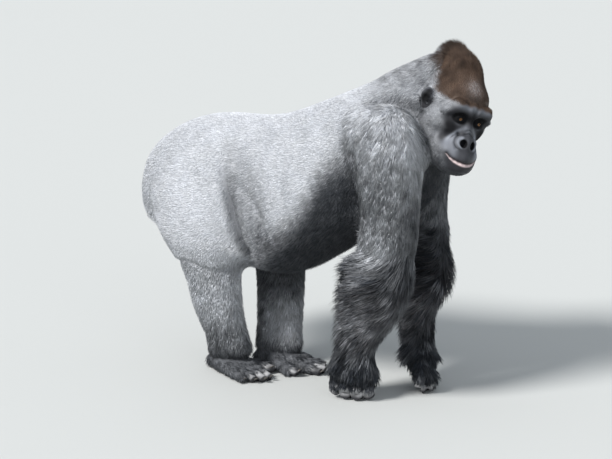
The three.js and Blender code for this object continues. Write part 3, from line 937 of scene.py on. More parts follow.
def settle(points, form, edges, weight, rounds=3):
    """Draws points onto a form, keeping the net even. Weight says how far each point follows."""
    active = np.where(weight > 0.001)[0]
    number = np.full(len(points), -1)
    number[active] = np.arange(len(active))
    inner = edges[(number[edges] >= 0).all(1)]
    net = number[inner]
    start = points[active]
    moving = start.copy()
    for _ in range(rounds):
        moving = drawn_onto(moving, form)
        moving = relaxed(moving, net, 2, 0.4)
    moving = drawn_onto(moving, form, 4)
    points = points.copy()
    points[active] = mix(start, moving, weight[active])
    return points


def skin_of_head(local, form=None):
    """Distance to the head's skin, which lies inside its form by the depth of the hair."""
    return (form or HEAD_FORM)(local) + head_coat_depth(local)


def settle_head(points, edges):
    local = to_head(points)
    uncut = head_forms(0)
    weight = 1 - ramp(np.abs(skin_of_head(local, uncut)), 10, 22)
    local = settle(local, lambda p: skin_of_head(p, uncut), edges, weight)
    face = weight * ramp(local[:, 0], 50, 64)
    for progress in (0.25, 0.5, 0.75, 1.0):
        cut = head_forms(progress)
        local = settle(local, lambda p: skin_of_head(p, cut), edges, face, 1)
    return from_head(local)


def settle_ears(points, edges):
    for s in (-1, 1):
        local = to_head(points)
        close = 1 - ramp(reach(local, np.array(EAR_AT) * (1, s, 1)), 42, 54)
        form = joined([(4, ear_form(s)), (6, carved(skin_of_head, [(8, ear_room(s))]))])
        local = settle(local, form, edges, close * (1 - ramp(np.abs(form(local)), 12, 20)))
        points = from_head(local)
    return points


def settle_paws(points, edges, shares):
    for side in SIDES:
        for shape, part, top in ((hand_form, "hand", 0.10), (foot_form, "foot", 0.07)):
            form = shape(side)
            thousand = points * 1000
            near = 1 - ramp(np.abs(form(thousand)), 12, 20)
            weight = part_share_of(shares, f"{part}_{side}") * near
            weight = weight * (1 - ramp(points[:, 2], top * 0.6, top))
            points = settle(thousand, form, edges, weight) / 1000
    return points


def shape_skin(skin):
    """Moves the skin in under the coat, and shapes its folds, head, hands and feet."""
    points, edges = points_of(skin), edges_of(skin)
    owner, shares = share_of_parts(points, edges)
    normals = relaxed(normals_of(skin), edges, 3)
    depth = relaxed(coat_depth(points, unit(normals), shares), edges, 8)
    depth = depth + crease_depth(points) + folds_depth(points)
    points = points - unit(normals) * (depth + OVERLAP)[:, None]
    points = settle_ears(settle_head(points, edges), edges)
    points = settle_paws(points, edges, shares)
    points[:, 2] = np.maximum(points[:, 2], FLOOR_LEVEL / 1000)
    set_points(skin, points)
    return owner, shares


# -------- markings
# Height at which the silver of the flank gives way to the dark belly, along the body. The line also
# follows where the flank turns under into shade, so the dark below it is partly painted shade.
BELLY_LINE_X = (-0.30, -0.15, -0.105, -0.055, -0.004, 0.047, 0.098, 0.149, 0.20, 0.25, 0.32)
BELLY_LINE_Z = (0.33, 0.38, 0.45, 0.50, 0.54, 0.59, 0.655, 0.74, 0.80, 0.84, 0.93)
# Heights up the limbs and how silver they are there.
ARM_SILVER = [
    (0.05, 0.00), (0.15, 0.04), (0.22, 0.09), (0.27, 0.18), (0.32, 0.14), (0.37, 0.10),
    (0.42, 0.08), (0.47, 0.15), (0.51, 0.32), (0.56, 0.75), (0.60, 0.66), (0.65, 0.52),
    (0.70, 0.44), (0.75, 0.52), (0.80, 0.75), (0.90, 0.90), (1.0, 0.9),
]
SHANK_SILVER = [(0.08, 0.22), (0.15, 0.42), (0.22, 0.80), (0.30, 1.0), (0.37, 1.0)]
# The far shank: darkest near its top, as painted shadow under the belly.
FAR_SHANK_SILVER = [
    (0.06, 0.10), (0.12, 0.75), (0.20, 0.70), (0.28, 0.20), (0.34, 0.14), (0.40, 0.30),
]


def up_the_limb(z, levels):
    return np.interp(z, *zip(*levels))


def arm_silver_and_shade(points):
    x, y, z = points.T
    rear = 1 - ramp(x, 0.24, 0.33)
    front = ramp(x - 0.06 * np.sin(z * 9), 0.42, 0.47)
    arm = up_the_limb(z, ARM_SILVER)
    # Painted shadow down the rear edge of the arm, behind the shoulder.
    arm = arm * (1 - 0.75 * rear * ramp(z, 0.56, 0.62) * (1 - ramp(z, 0.83, 0.90)))
    # Painted shade along the front edge of the arm, beside the cheek and the neck.
    arm = arm * mix(1.0, 0.35, front * (1 - ramp(z, 0.84, 0.94)))
    # The far arm is darker, as painted shade.
    return arm * np.where(y > MID_LINE, 0.4, 1.0)


def leg_silver_and_shade(points):
    """How silver the thighs and the shanks are painted. The near shank is lighter than the far one: the
    far one is darker as painted shadow under the belly. Inner sides and the thigh's lower edge are darker,
    partly their own colour and partly painted shade.
    """
    x, y, z = points.T
    far = y > MID_LINE
    near_leg, far_leg = middle("shank_right"), middle("shank_left")
    outward = np.where(far, y - far_leg[1], near_leg[1] - y)
    ahead = x - np.where(far, far_leg[0], near_leg[0])
    near_shank = up_the_limb(z, SHANK_SILVER) * mix(0.6, 1.0, ramp(outward + 0.8 * ahead, -0.09, -0.02))
    far_shank = up_the_limb(z, FAR_SHANK_SILVER) * mix(0.3, 1.0, ramp(ahead, -0.03, 0.02))
    thigh = mix(0.90, 1.0, ramp(z, 0.37, 0.42)) * mix(0.4, 1.0, ramp(outward, -0.08, 0.0))
    return thigh, np.where(far, far_shank, near_shank)


def silver_and_shade_places(points, edges, shares):
    x, z = points[:, 0], points[:, 2]
    local = to_head(points)
    belly_line = np.interp(x, BELLY_LINE_X, BELLY_LINE_Z)
    arm = arm_silver_and_shade(points)
    thigh, shank = leg_silver_and_shade(points)
    silver_of = {
        "trunk": 0.05 + 0.95 * ramp(z - belly_line + 0.02 * waves(points, 14, 8), -0.07, 0.09),
        "neck": 0.56,
        "head": mix(0.14, 0.54, ramp(local[:, 2], -150, -70)),
        "ear": 0.45,
        "upper_arm": arm,
        "forearm": arm,
        "hand": 0,
        "thigh": thigh,
        "shank": shank,
        "foot": 0.16,
    }
    silver = sum(part_share(shares, kind) * value for kind, value in silver_of.items())
    shoulder = ramp(z, 0.70, 0.80) * ramp(x, 0.05, 0.15)
    silver = mix(silver, relaxed(silver, edges, 44), shoulder)
    # Painted shade in the body's creases, in the fold before the thigh, under the thigh's hem and in the
    # cleft of the rump.
    silver = silver * (1 - 0.88 * crease_shade_share(points))
    # Painted shadow along the lines between the shoulders and the neck.
    shoulder_lines = [distance_to_path(points, line) for line in (SHOULDER_LINE, SHOULDER_LINE_FAR)]
    silver = silver * (1 - 0.5 * bell(np.minimum(*shoulder_lines), 0.045))
    on_head = part_share(shares, "head")
    beside_ear = bell(off_the_ear(local), 7) * (local[:, 2] < 60)
    below_ear = spot(local, (12, -112, -14), (9, 20, 16))
    ears = np.maximum(beside_ear, below_ear) * (on_head + part_share(shares, "ear"))
    silver = silver * (1 - 0.8 * ears)
    silver = silver * (1 - 0.85 * relaxed(face_share(local), edges, 34) * on_head)
    jaw = spot(one_side(local), (42, 104, -44), (32, 30, 46))
    return np.clip(silver + 0.42 * jaw * on_head, 0, 1)


def brown_places(points, shares):
    """The red-brown crown, and a breath of brown on the forearms."""
    local, z = to_head(points), points[:, 2]
    on_head = part_share(shares, "head") + part_share(shares, "neck")
    edge = 6 * np.sin(local[:, 1] * 0.16 + 1) * np.sin(local[:, 2] * 0.09)
    cap = ramp(local[:, 0] + 1.08 * local[:, 2] + edge, 74, 122)
    cap = cap * ramp(local[:, 2] + 0.25 * np.minimum(local[:, 1] + 20, 0), 26, 40)
    brown = cap * np.clip(on_head * 1.4, 0, 1) * (1 - 0.3 * forehead(local))
    return brown + 0.07 * part_share(shares, "forearm") * ramp(z, 0.16, 0.24) * (1 - ramp(z, 0.40, 0.50))


def bare_places(points, shares):
    """How bare each point is, and how bare it is as part of a finger or toe."""
    local = to_head(points)
    face = face_share(local) * part_share(shares, "head")
    on_head = part_share(shares, "head") + part_share(shares, "neck")
    ears = ear_share(local) * ramp(on_head + part_share(shares, "ear"), 0.3, 0.7)
    toes = np.zeros(len(points))
    for side in SIDES:
        out, across, up = foot_places(points, side)
        toe = ramp(out, 190, 206) + ramp(across, 50, 62) * ramp(out, 136, 152)
        toes += part_share_of(shares, f"foot_{side}") * np.clip(toe + 1 - ramp(up, 8, 18), 0, 1)
    paws = part_share(shares, "hand") * (1 - ramp(points[:, 2], 0.040, 0.056)) + toes
    return np.clip(face + paws + ears, 0, 1), paws


def markings(points, edges, shares):
    """How silver, how brown, how bare and how pale each point is, from 0 to 1."""
    bare, paws = bare_places(points, shares)
    pale_patches = np.clip(0.75 + 0.5 * waves(points, 120, 5), 0, 1)
    # The fingers and toes are paler above where they meet the floor, in patches.
    pale = paws * ramp(points[:, 2], 0.010, 0.026) * pale_patches
    return silver_and_shade_places(points, edges, shares), brown_places(points, shares), bare, pale


# -------- the lie of the coat
# Heights up the arm, and how far the hair runs back there for each step down.
SWEEP_BACK = [
    (0.10, 0.1), (0.18, 0.6), (0.28, 1.2), (0.38, 2.4), (0.45, 4.5), (0.50, 5.0), (0.54, 1.2), (0.60, 0.3),
]


def lie_of_coat(points, normals, shares):
    """The way the hair runs at each point, before it is laid along the skin."""
    x, y, z = points.T
    local = to_head(points)
    side = np.where(y > MID_LINE, 1.0, -1.0)

    def way(ahead, out, up):
        parts = [np.broadcast_to(v, z.shape) for v in (ahead, out * side, up)]
        return np.stack(parts, axis=1).astype(float)

    flank = ramp(0.86 - z, 0.0, 0.36)
    behind_shoulder = ramp(x, 0.10, 0.28) * ramp(np.abs(normals[:, 1]), 0.2, 0.8)
    trunk = way(-1.0, 0, -0.12 - 0.75 * flank - 1.6 * behind_shoulder)
    trunk = mix(trunk, way(-0.5, 0, -1.0), ramp(-x, 0.43, 0.56))
    trunk = mix(trunk, way(-1.0, 0, -0.25), ramp(-normals[:, 2], 0.3, 0.8))

    sweep = up_the_limb(z, SWEEP_BACK)
    elbow_front = (middle("forearm_right") + middle("forearm_left"))[0] / 2 + 0.05
    sweep = sweep * (1 - 0.8 * ramp(x - elbow_front, 0.0, 0.05) * ramp(z, 0.36, 0.42))
    arm = way(-sweep, 0.1, -1.0)
    low_thigh = ramp(0.54 - z, 0.0, 0.12)
    thigh = mix(way(-1.0, 0, -0.10), way(-0.45, 0, -1.0), low_thigh)
    thigh = mix(thigh, way(-0.3, 0, -1.0), ramp(-normals[:, 0], 0.5, 0.95))

    above = ramp(local[:, 2], 10, 60)
    crown = way(-0.8, 0, 0.55 - 0.6 * ramp(-local[:, 0], -40, 90))
    head = unit(mix(way(-0.45, 0, -1.0), crown, above)) @ HEAD_TURN.T

    lies = {
        "trunk": trunk,
        "neck": way(-0.8, 0, -0.75),
        "head": head,
        "ear": way(-1.0, 0, 0.2),
        "upper_arm": arm,
        "forearm": arm,
        "hand": way(-0.1, 0, -1.0),
        "thigh": thigh,
        "shank": way(-0.22, 0, -1.0),
        "foot": way(0.7, 0, -0.7),
    }
    return sum(part_share(shares, kind)[:, None] * unit(lie) for kind, lie in lies.items())


class Coat:
    """What the tufts need to know at each point and triangle of the skin."""

    def __init__(self, skin, owner, shares):
        self.points = points_of(skin)
        self.normals = normals_of(skin)
        self.edges = edges_of(skin)
        self.shares = shares
        raw = lie_of_coat(self.points, self.normals, shares)
        self.lie = unit(relaxed(raw, self.edges, 10))
        self.silver, self.brown, self.bare, self.pale = markings(self.points, self.edges, shares)
        self.depth = relaxed(coat_depth(self.points, self.normals, shares), self.edges, 4)
        mesh = skin.data
        mesh.calc_loop_triangles()
        self.triangles = read_all(mesh.loop_triangles, "vertices", 3, np.int32)
        self.loops = read_all(mesh.loop_triangles, "loops", 3, np.int32)
        a, b, c = (self.points[self.triangles[:, k]] for k in range(3))
        self.area = np.linalg.norm(np.cross(b - a, c - a), axis=1) / 2
        owners = owner[self.triangles]
        self.face_owner = np.sort(owners, axis=1)[:, 1]


def unwrapped(skin):
    """The skin laid flat, as one place on a sheet for each corner of its faces."""
    only(skin)
    edit_all()
    bpy.ops.uv.smart_project(angle_limit=math.radians(66), island_margin=0.002)
    stop_editing()
    return read_all(skin.data.uv_layers.active.data, "uv", 2).astype(float)


def scatter(coat, nodes, rng):
    """Roots of tufts on some parts: the triangle and the place in it of each."""
    wanted = np.isin(coat.face_owner, [FLESH.index(node) for node in nodes])
    density = coat_values("many")[coat.face_owner]
    furry = 1 - coat.bare[coat.triangles].mean(1)
    count = coat.area * density * ramp(furry, 0.02, 0.75) * wanted
    count = np.floor(count + rng.random(len(count))).astype(int)
    triangle = np.repeat(np.arange(len(count)), count)
    u, v = rng.random((2, len(triangle)))
    over = u + v > 1
    u, v = np.where(over, 1 - u, u), np.where(over, 1 - v, v)
    return triangle, np.stack([1 - u - v, u, v], axis=1)


# Tufts of one bend and of two: faces, places on the sheet, and how far up the tuft each corner is.
# The corners are the root, then left, right and ridge at each bend, then the tip.
TUFTS = {
    1: (
        [(0, 1, 3), (0, 3, 2), (0, 2, 1), (4, 3, 1), (4, 2, 3), (4, 1, 2)],
        [(-0.5, 0), (0, 0.5), (0, -0.5), (0.05, 0), (0.5, 0)],
        [0.0, 0.45, 0.45, 0.5, 1.0],
    ),
    2: (
        [(0, 1, 3), (0, 3, 2), (0, 2, 1), (1, 4, 6), (1, 6, 3), (3, 6, 5), (3, 5, 2), (2, 5, 4),
         (2, 4, 1), (7, 6, 4), (7, 5, 6), (7, 4, 5)],
        [(-0.5, 0), (-0.2, 0.5), (-0.2, -0.5), (-0.2, 0), (0.2, 0.4), (0.2, -0.4), (0.2, 0),
         (0.5, 0)],
        [0.0, 0.32, 0.32, 0.36, 0.7, 0.7, 0.74, 1.0],
    ),
}
PATCH = 0.003  # size of a tuft's patch on the sheet
LIMIT = 190000  # triangles in one piece of coat
LEADERS = 0.03925  # share of the tufts that others gather round in locks


class Roots:
    """Where the tufts of a piece of coat are rooted, and what the skin says there."""

    def __init__(self, coat, nodes, rng):
        self.triangle, self.places = scatter(coat, nodes, rng)
        self.corners = coat.triangles[self.triangle]
        self.total = len(self.triangle)
        self.at, self.shares, self.depth, self.bare = (
            self.read(values) for values in (coat.points, coat.shares, coat.depth, coat.bare)
        )
        self.silver, self.brown = self.read(coat.silver), self.read(coat.brown)
        self.normal, self.lie = unit(self.read(coat.normals)), unit(self.read(coat.lie))

    def read(self, values):
        places = self.places if values.ndim == 1 else self.places[:, :, None]
        return (values[self.corners] * places).sum(1)


def forehead(local):
    return spot(local, (100, -6, 93), (50, 27, 24))


def crown_light(local, brown):
    """How light the crown's hair is: more on the forehead, whose paler hair is also brightened there as
    painted light, less behind the crest, and in streaks.
    """
    low = spot(local, (116, -16, 60), (28, 34, 13))
    back = ramp(-local[:, 0], 10, 70) * ramp(local[:, 2], 110, 170)
    streaks = 0.24 * waves(local / 1000 * (1, 1, 0.4), 210, 77) - 0.12
    return 1 + brown * (1.1 * forehead(local) - 0.75 * low - 0.5 * back + streaks)


def tuft_sizes(roots, rng, seed):
    """Length and width of each tuft. The fringe behind the elbow is the longest."""
    long = roots.shares @ coat_values("long") * (0.45 + 0.55 * (1 - roots.bare))
    elbow = bell(roots.at[:, 2] - 0.485, 0.035) * ramp(-roots.normal[:, 0], 0.1, 0.7)
    long = long * (1 + 0.55 * elbow * part_share(roots.shares, "forearm"))
    long = np.maximum(long, roots.depth * 1.7)
    long = long * rng.uniform(0.72, 1.25, roots.total) * (1 + 0.12 * waves(roots.at, 60, seed + 1))
    return long, roots.shares @ coat_values("wide") * rng.uniform(0.65, 1.3, roots.total)


def tuft_run(roots, long, rng, seed):
    """Start, bend and tip of each tuft, and the way across it."""
    outward = (roots.lie * roots.normal).sum(1)
    along = unit(roots.lie - outward[:, None] * roots.normal)
    across = np.cross(along, roots.normal)
    sway = 0.10 * rng.normal(size=roots.total) + 0.10 * waves(roots.at, 45, seed + 2)
    along = unit(along + across * sway[:, None])
    across = np.cross(along, roots.normal)
    rise = roots.depth * rng.uniform(0.55, 1.05, roots.total) / long
    rise = np.arcsin(np.clip(rise, 0.02, 0.95))
    free = part_share(roots.shares, "forearm") + 0.3 * part_share(roots.shares, "upper_arm")
    rise = np.maximum(rise, free * np.arcsin(np.clip(outward, 0, 1)) * 0.8)

    def step(lift, share):
        way = along * np.cos(rise * lift)[:, None] + roots.normal * np.sin(rise * lift)[:, None]
        return way * (long * share)[:, None]

    start = roots.at - roots.normal * 0.0015
    bend = start + step(1.35, 0.42)
    return start, bend, bend + step(0.75, 0.58), across


def gathering(roots, locks, rng):
    """How each tuft leans to the leader of its lock, and two values that a lock has in common."""
    leaders = rng.permutation(roots.total)[:max(8, int(roots.total * LEADERS))]
    tree = KDTree(len(leaders))
    for order, leader in enumerate(leaders):
        tree.insert(roots.at[leader], order)
    tree.balance()
    nearest = np.array([leaders[tree.find(root)[1]] for root in roots.at])
    lock = rng.normal(size=(2, roots.total))[:, nearest]
    return (roots.at[nearest] - roots.at) * (locks * 0.7), lock


def tuft_marks(roots, locks, lock, rng, seed):
    """Silver, brown and shade of each tuft."""
    total, silver, brown = roots.total, roots.silver, roots.brown
    mottle = rng.normal(size=total) * 0.5 + 0.5 * waves(roots.at, 160, seed + 3)
    unsure = 1 - np.abs(silver * 2 - 1)
    silver = silver + mottle * (0.03 + 0.20 * unsure) + locks * 0.07 * lock[0] * (silver < 0.7)
    brown = brown + 0.35 * rng.normal(size=total) * (1 - np.abs(brown * 2 - 1))
    silver, brown = np.clip(silver, 0, 1), np.clip(brown, 0, 1)
    shade = 1 + 0.10 * rng.normal(size=total) + 0.05 * waves(roots.at, 90, seed + 4)
    shade = shade * np.exp(0.30 * locks * lock[1]) * crown_light(to_head(roots.at), brown)
    return np.stack([silver, brown, np.clip(shade, 0.3, 2.4) / 2, np.ones(total)], axis=1)


def grow(coat, nodes, sheet, material, slot, bends, locks, seed):
    """Grows the coat of some parts, as one piece or as several of fewer than LIMIT triangles."""
    rng = np.random.default_rng(seed)
    roots = Roots(coat, nodes, rng)
    long, wide = tuft_sizes(roots, rng, seed)
    start, bend, tip, across = tuft_run(roots, long, rng, seed)
    lock = np.zeros((2, roots.total))
    if locks > 0:
        gather, lock = gathering(roots, locks, rng)
        bend = bend + gather * 0.35
        tip = tip + gather
    half = across * (wide * 0.5)[:, None]
    ridge = roots.normal * (wide * 0.30)[:, None]
    pattern, patch, height = TUFTS[bends]
    if bends == 1:
        corners_of = [start, bend + half, bend - half, bend + ridge, tip]
    else:
        knee = mix(bend, tip, 0.5) + ridge * 0.8
        low = mix(start, bend, 0.75)
        corners_of = [start, low + half, low - half, low + ridge]
        corners_of += [knee + half * 0.72, knee - half * 0.72, knee + ridge * 0.7, tip]
    vertices = np.stack(corners_of, axis=1)
    vertices[:, :, 2] = np.maximum(vertices[:, :, 2], FLOOR_LEVEL / 1000)
    tufts = tuft_marks(roots, locks, lock, rng, seed)
    uv_root = (sheet[coat.loops[roots.triangle]] * roots.places[:, :, None]).sum(1)
    uv = uv_root[:, None, :] + np.array(patch)[None] * PATCH
    lots = math.ceil(roots.total * len(pattern) / LIMIT)
    order = np.argsort(roots.at[:, 0], kind="stable")
    for lot, chosen in enumerate(np.array_split(order, lots), 1):
        lot_name = f"coat_{nodes[0]}" + (f"_{lot}" if lots > 1 else "")
        piece = tuft_piece(lot_name, vertices[chosen], pattern, tufts[chosen], height, uv[chosen])
        piece.data.materials.append(material)
        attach(piece, "root")


def tuft_piece(name, vertices, pattern, marks, height, uv):
    """One mesh of many tufts, with each tuft's markings and its patch of the OFBake sheet."""
    total, count = vertices.shape[:2]
    faces = (np.arange(total)[:, None, None] * count + np.array(pattern)[None]).reshape(-1, 3)
    piece = mesh_piece(name, vertices.reshape(-1, 3), faces)
    set_values(piece.data, "marking", np.repeat(marks, count, axis=0), "FLOAT_COLOR")
    set_values(piece.data, "height", np.tile(height, total))
    layer = piece.data.uv_layers.new(name="OFBake")
    corners = uv.reshape(-1, 2)[faces.ravel()]
    layer.data.foreach_set("uv", flat(corners))
    return piece


def mesh_piece(name, vertices, faces):
    mesh = bpy.data.meshes.new(name)
    mesh.vertices.add(len(vertices))
    mesh.vertices.foreach_set("co", flat(vertices))
    mesh.loops.add(faces.size)
    mesh.loops.foreach_set("vertex_index", flat(faces, np.int32))
    mesh.polygons.add(len(faces))
    mesh.polygons.foreach_set("loop_start", np.arange(0, faces.size, 3, dtype=np.int32))
    mesh.polygons.foreach_set("use_smooth", np.ones(len(faces), bool))
    mesh.update(calc_edges=True)
    piece = bpy.data.objects.new(name, mesh)
    bpy.context.scene.collection.objects.link(piece)
    return piece


# -------- materials
SILVER = (0.80, 0.81, 0.84, 1)
CHARCOAL = (0.026, 0.030, 0.037, 1)
RED_BROWN = (0.105, 0.068, 0.049, 1)
BARE_SKIN = (0.026, 0.026, 0.030, 1)
# Pale skin of the face, which also paints its highlights.
LIGHT_AND_HIGHLIT_SKIN = (0.36, 0.38, 0.43, 1)
PALE_SKIN = (0.46, 0.46, 0.47, 1)
GREY_SKIN = (0.050, 0.050, 0.056, 1)
# Darkest skin, which also paints the shade in the eye sockets, nostrils, mouth line, between the lids and
# in the ears' hollows.
DARKEST_SKIN_AND_SHADE = (0.006, 0.006, 0.007, 1)
LIP = (0.80, 0.64, 0.64, 1)
# Painted shade for the skin's creases and hollows.
CREASE_SHADE = (0.010, 0.011, 0.014, 1)
# How far round the eye from the middle of the pupil, where one is a quarter turn, and the colour.
EYE_COLOURS = [
    (0.09, (0.002, 0.002, 0.002, 1)),
    (0.12, (0.20, 0.092, 0.030, 1)),
    (0.26, (0.26, 0.130, 0.048, 1)),
    (0.32, (0.06, 0.026, 0.012, 1)),
    (0.36, (0.012, 0.008, 0.006, 1)),
    (0.70, (0.022, 0.014, 0.011, 1)),
]


def new_material(name):
    material = bpy.data.materials.new(name)
    material.use_nodes = True
    tree = material.node_tree
    return material, tree, tree.nodes["Principled BSDF"]


def add_node(tree, kind, **settings):
    made = tree.nodes.new(kind)
    for key, value in settings.items():
        setattr(made, key, value)
    return made


def feed(tree, socket, value):
    """Sets a socket to a plain value, or links it to another node's."""
    if isinstance(value, (int, float, tuple)):
        socket.default_value = value
    else:
        tree.links.new(value, socket)


def blend_colours(tree, share, first, second, way="MIX"):
    blend = add_node(tree, "ShaderNodeMix", data_type="RGBA", blend_type=way)
    for place, value in ((0, share), (6, first), (7, second)):
        feed(tree, blend.inputs[place], value)
    return blend.outputs[2]


def sum_of(tree, operation, first, second):
    maths = add_node(tree, "ShaderNodeMath", operation=operation)
    feed(tree, maths.inputs[0], first)
    feed(tree, maths.inputs[1], second)
    return maths.outputs[0]


def scaled(tree, value, by, plus):
    return sum_of(tree, "ADD", sum_of(tree, "MULTIPLY", value, by), plus)


def noise(tree, scale, detail=3.0, stretch=(1, 1, 1)):
    place = add_node(tree, "ShaderNodeTexCoord")
    mapping = add_node(tree, "ShaderNodeMapping")
    mapping.inputs["Scale"].default_value = stretch
    grain = add_node(tree, "ShaderNodeTexNoise")
    grain.inputs["Scale"].default_value = scale
    grain.inputs["Detail"].default_value = detail
    tree.links.new(place.outputs["Object"], mapping.inputs["Vector"])
    tree.links.new(mapping.outputs["Vector"], grain.inputs["Vector"])
    return grain.outputs["Fac"]


def carried(tree, name, output="Fac"):
    """A value that the points of a piece carry."""
    return add_node(tree, "ShaderNodeAttribute", attribute_name=name).outputs[output]


def three_carried(tree, name):
    """Three values that are kept as one colour."""
    split = add_node(tree, "ShaderNodeSeparateColor")
    tree.links.new(carried(tree, name, "Color"), split.inputs["Color"])
    return split.outputs


def grey_of(tree, value):
    wrap = add_node(tree, "ShaderNodeCombineColor")
    for socket in wrap.inputs:
        tree.links.new(value, socket)
    return wrap.outputs["Color"]


def coat_group():
    """Colour of the coat from its markings: silver, red-brown and charcoal hairs."""
    group = bpy.data.node_groups.new("coat_colour", "ShaderNodeTree")
    for name in ("Silver", "Brown", "Shade"):
        group.interface.new_socket(name, in_out="INPUT", socket_type="NodeSocketFloat")
    group.interface.new_socket("Colour", in_out="OUTPUT", socket_type="NodeSocketColor")
    entry = add_node(group, "NodeGroupInput")
    leave = add_node(group, "NodeGroupOutput")
    grey = blend_colours(group, entry.outputs["Silver"], CHARCOAL, SILVER)
    drift = noise(group, 22, 4)
    cool = sum_of(group, "MULTIPLY", drift, 0.3)
    tinted = blend_colours(group, cool, grey, (0.75, 0.80, 0.92, 1), "MULTIPLY")
    capped = blend_colours(group, entry.outputs["Brown"], tinted, RED_BROWN)
    strands = noise(group, 420, 2)
    # Shade darkens or lightens each hair: at random, with painted shade towards the roots and painted
    # light on the forehead.
    lift = sum_of(group, "MULTIPLY", scaled(group, strands, 0.5, 0.75), entry.outputs["Shade"])
    shaded = blend_colours(group, 1.0, capped, grey_of(group, lift), "MULTIPLY")
    group.links.new(shaded, leave.inputs["Colour"])
    return group


def coat_colour(tree, colours, silver, brown, shade):
    coloured = add_node(tree, "ShaderNodeGroup", node_tree=colours)
    for name, value in (("Silver", silver), ("Brown", brown), ("Shade", shade)):
        feed(tree, coloured.inputs[name], value)
    return coloured.outputs["Colour"]


def coat_material(colours):
    material, tree, shader = new_material("coat_hair")
    silver, brown, half_shade = three_carried(tree, "marking")
    # Darker at the root, lighter at the tip: partly the hair's own darker roots, partly painted shade deep
    # in the coat.
    rise = scaled(tree, carried(tree, "height"), 0.25, 0.86)
    shade = sum_of(tree, "MULTIPLY", sum_of(tree, "MULTIPLY", half_shade, 2.0), rise)
    tree.links.new(coat_colour(tree, colours, silver, brown, shade), shader.inputs["Base Color"])
    shader.inputs["Roughness"].default_value = 0.6
    shader.inputs["Specular IOR Level"].default_value = 0.22
    return material


def skin_material(colours):
    """Bare skin, and under the coat the coat's own colour, darkened as painted shade between the tufts."""
    material, tree, shader = new_material("gorilla_skin")
    silver, brown, bareness = three_carried(tree, "marking")
    tone, dark, lips = three_carried(tree, "face")
    patches = noise(tree, 60, 4)
    # The tone layer carries painted highlights; the dark layer and the crease layer carry painted shade.
    layers = [
        (patches, GREY_SKIN), (tone, LIGHT_AND_HIGHLIT_SKIN), (dark, DARKEST_SKIN_AND_SHADE),
        (carried(tree, "pale"), PALE_SKIN), (lips, LIP),
        # Painted shade in the skin's creases and hollows.
        (sum_of(tree, "MULTIPLY", carried(tree, "painted_crease_shade"), 0.9), CREASE_SHADE),
    ]
    bare = BARE_SKIN
    for share, colour in layers:
        bare = blend_colours(tree, share, bare, colour)
    # Under the coat: the coat's colour at a shade of 0.72, painted shade in the gaps between the tufts.
    whole = blend_colours(tree, bareness, coat_colour(tree, colours, silver, brown, 0.72), bare)
    tree.links.new(whole, shader.inputs["Base Color"])
    cells = add_node(tree, "ShaderNodeTexVoronoi", feature="DISTANCE_TO_EDGE")
    cells.inputs["Scale"].default_value = 560
    place = add_node(tree, "ShaderNodeTexCoord")
    tree.links.new(place.outputs["Object"], cells.inputs["Vector"])
    crackle = sum_of(tree, "MINIMUM", cells.outputs["Distance"], 0.12)
    height = scaled(tree, crackle, 3.0, noise(tree, 120, 4))
    bump = add_node(tree, "ShaderNodeBump")
    bump.inputs["Distance"].default_value = 0.0004
    bump.inputs["Strength"].default_value = 0.5
    tree.links.new(height, bump.inputs["Height"])
    tree.links.new(bump.outputs["Normal"], shader.inputs["Normal"])
    rough = scaled(tree, dark, 0.4, scaled(tree, patches, 0.25, 0.34))
    tree.links.new(rough, shader.inputs["Roughness"])
    shader.inputs["Specular IOR Level"].default_value = 0.14
    return material


def eye_material():
    material, tree, shader = new_material("amber_eye")
    rings = add_node(tree, "ShaderNodeValToRGB")
    stops = rings.color_ramp.elements
    for order, (position, colour) in enumerate(EYE_COLOURS):
        stop = stops[order] if order < 2 else stops.new(position)
        stop.position = position
        stop.color = colour
    tree.links.new(carried(tree, "gaze"), rings.inputs["Fac"])
    lift = scaled(tree, noise(tree, 900, 3), 0.9, 0.55)
    colour = blend_colours(tree, 1.0, rings.outputs["Color"], grey_of(tree, lift), "MULTIPLY")
    tree.links.new(colour, shader.inputs["Base Color"])
    shader.inputs["Roughness"].default_value = 0.10
    shader.inputs["Specular IOR Level"].default_value = 0.2
    shader.inputs["Coat Weight"].default_value = 0.08
    shader.inputs["Coat Roughness"].default_value = 0.02
    return material


def nail_material():
    material, tree, shader = new_material("dark_nail")
    streaks = noise(tree, 300, 3, (1, 1, 0.3))
    colour = blend_colours(tree, streaks, (0.05, 0.045, 0.042, 1), (0.16, 0.145, 0.13, 1))
    tree.links.new(colour, shader.inputs["Base Color"])
    shader.inputs["Roughness"].default_value = 0.35
    return material


# -------- eyes and nails
EYES_UP, EYES_OUT = 4, 5  # degrees that each eye looks up and outwards from straight ahead


def add_eye(side, material):
    s = SIDES[side]
    low, high = (np.array(corner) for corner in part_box(f"eye_{side}"))
    centre, radius = (low + high) / 2, (high - low).mean() / 2
    turn = Matrix(HEAD_TURN.tolist()) @ Matrix.Rotation(math.radians(90 - EYES_UP), 3, "Y")
    turn = turn @ Matrix.Rotation(math.radians(-EYES_OUT * s), 3, "X")
    bpy.ops.mesh.primitive_uv_sphere_add(
        segments=40, ring_count=28, radius=radius, location=centre, rotation=turn.to_euler()
    )
    eye = bpy.context.active_object
    eye.name = f"eyeball_{side}"
    eye.data.name = eye.name
    bpy.ops.object.transform_apply()
    bpy.ops.object.shade_smooth()
    ahead = np.array(turn.col[2])
    points = points_of(eye)
    angle = np.arccos(np.clip(unit(points - centre) @ ahead, -1, 1)) / (math.pi / 2)
    bulge = 1 + 0.06 * (1 - ramp(angle, 0.2, 0.4))
    set_points(eye, centre + (points - centre) * bulge[:, None])
    set_values(eye.data, "gaze", angle)
    eye.data.materials.append(material)
    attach(eye, "root")
    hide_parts(f"eye_{side}")


NAIL_PITCH = math.radians(38)


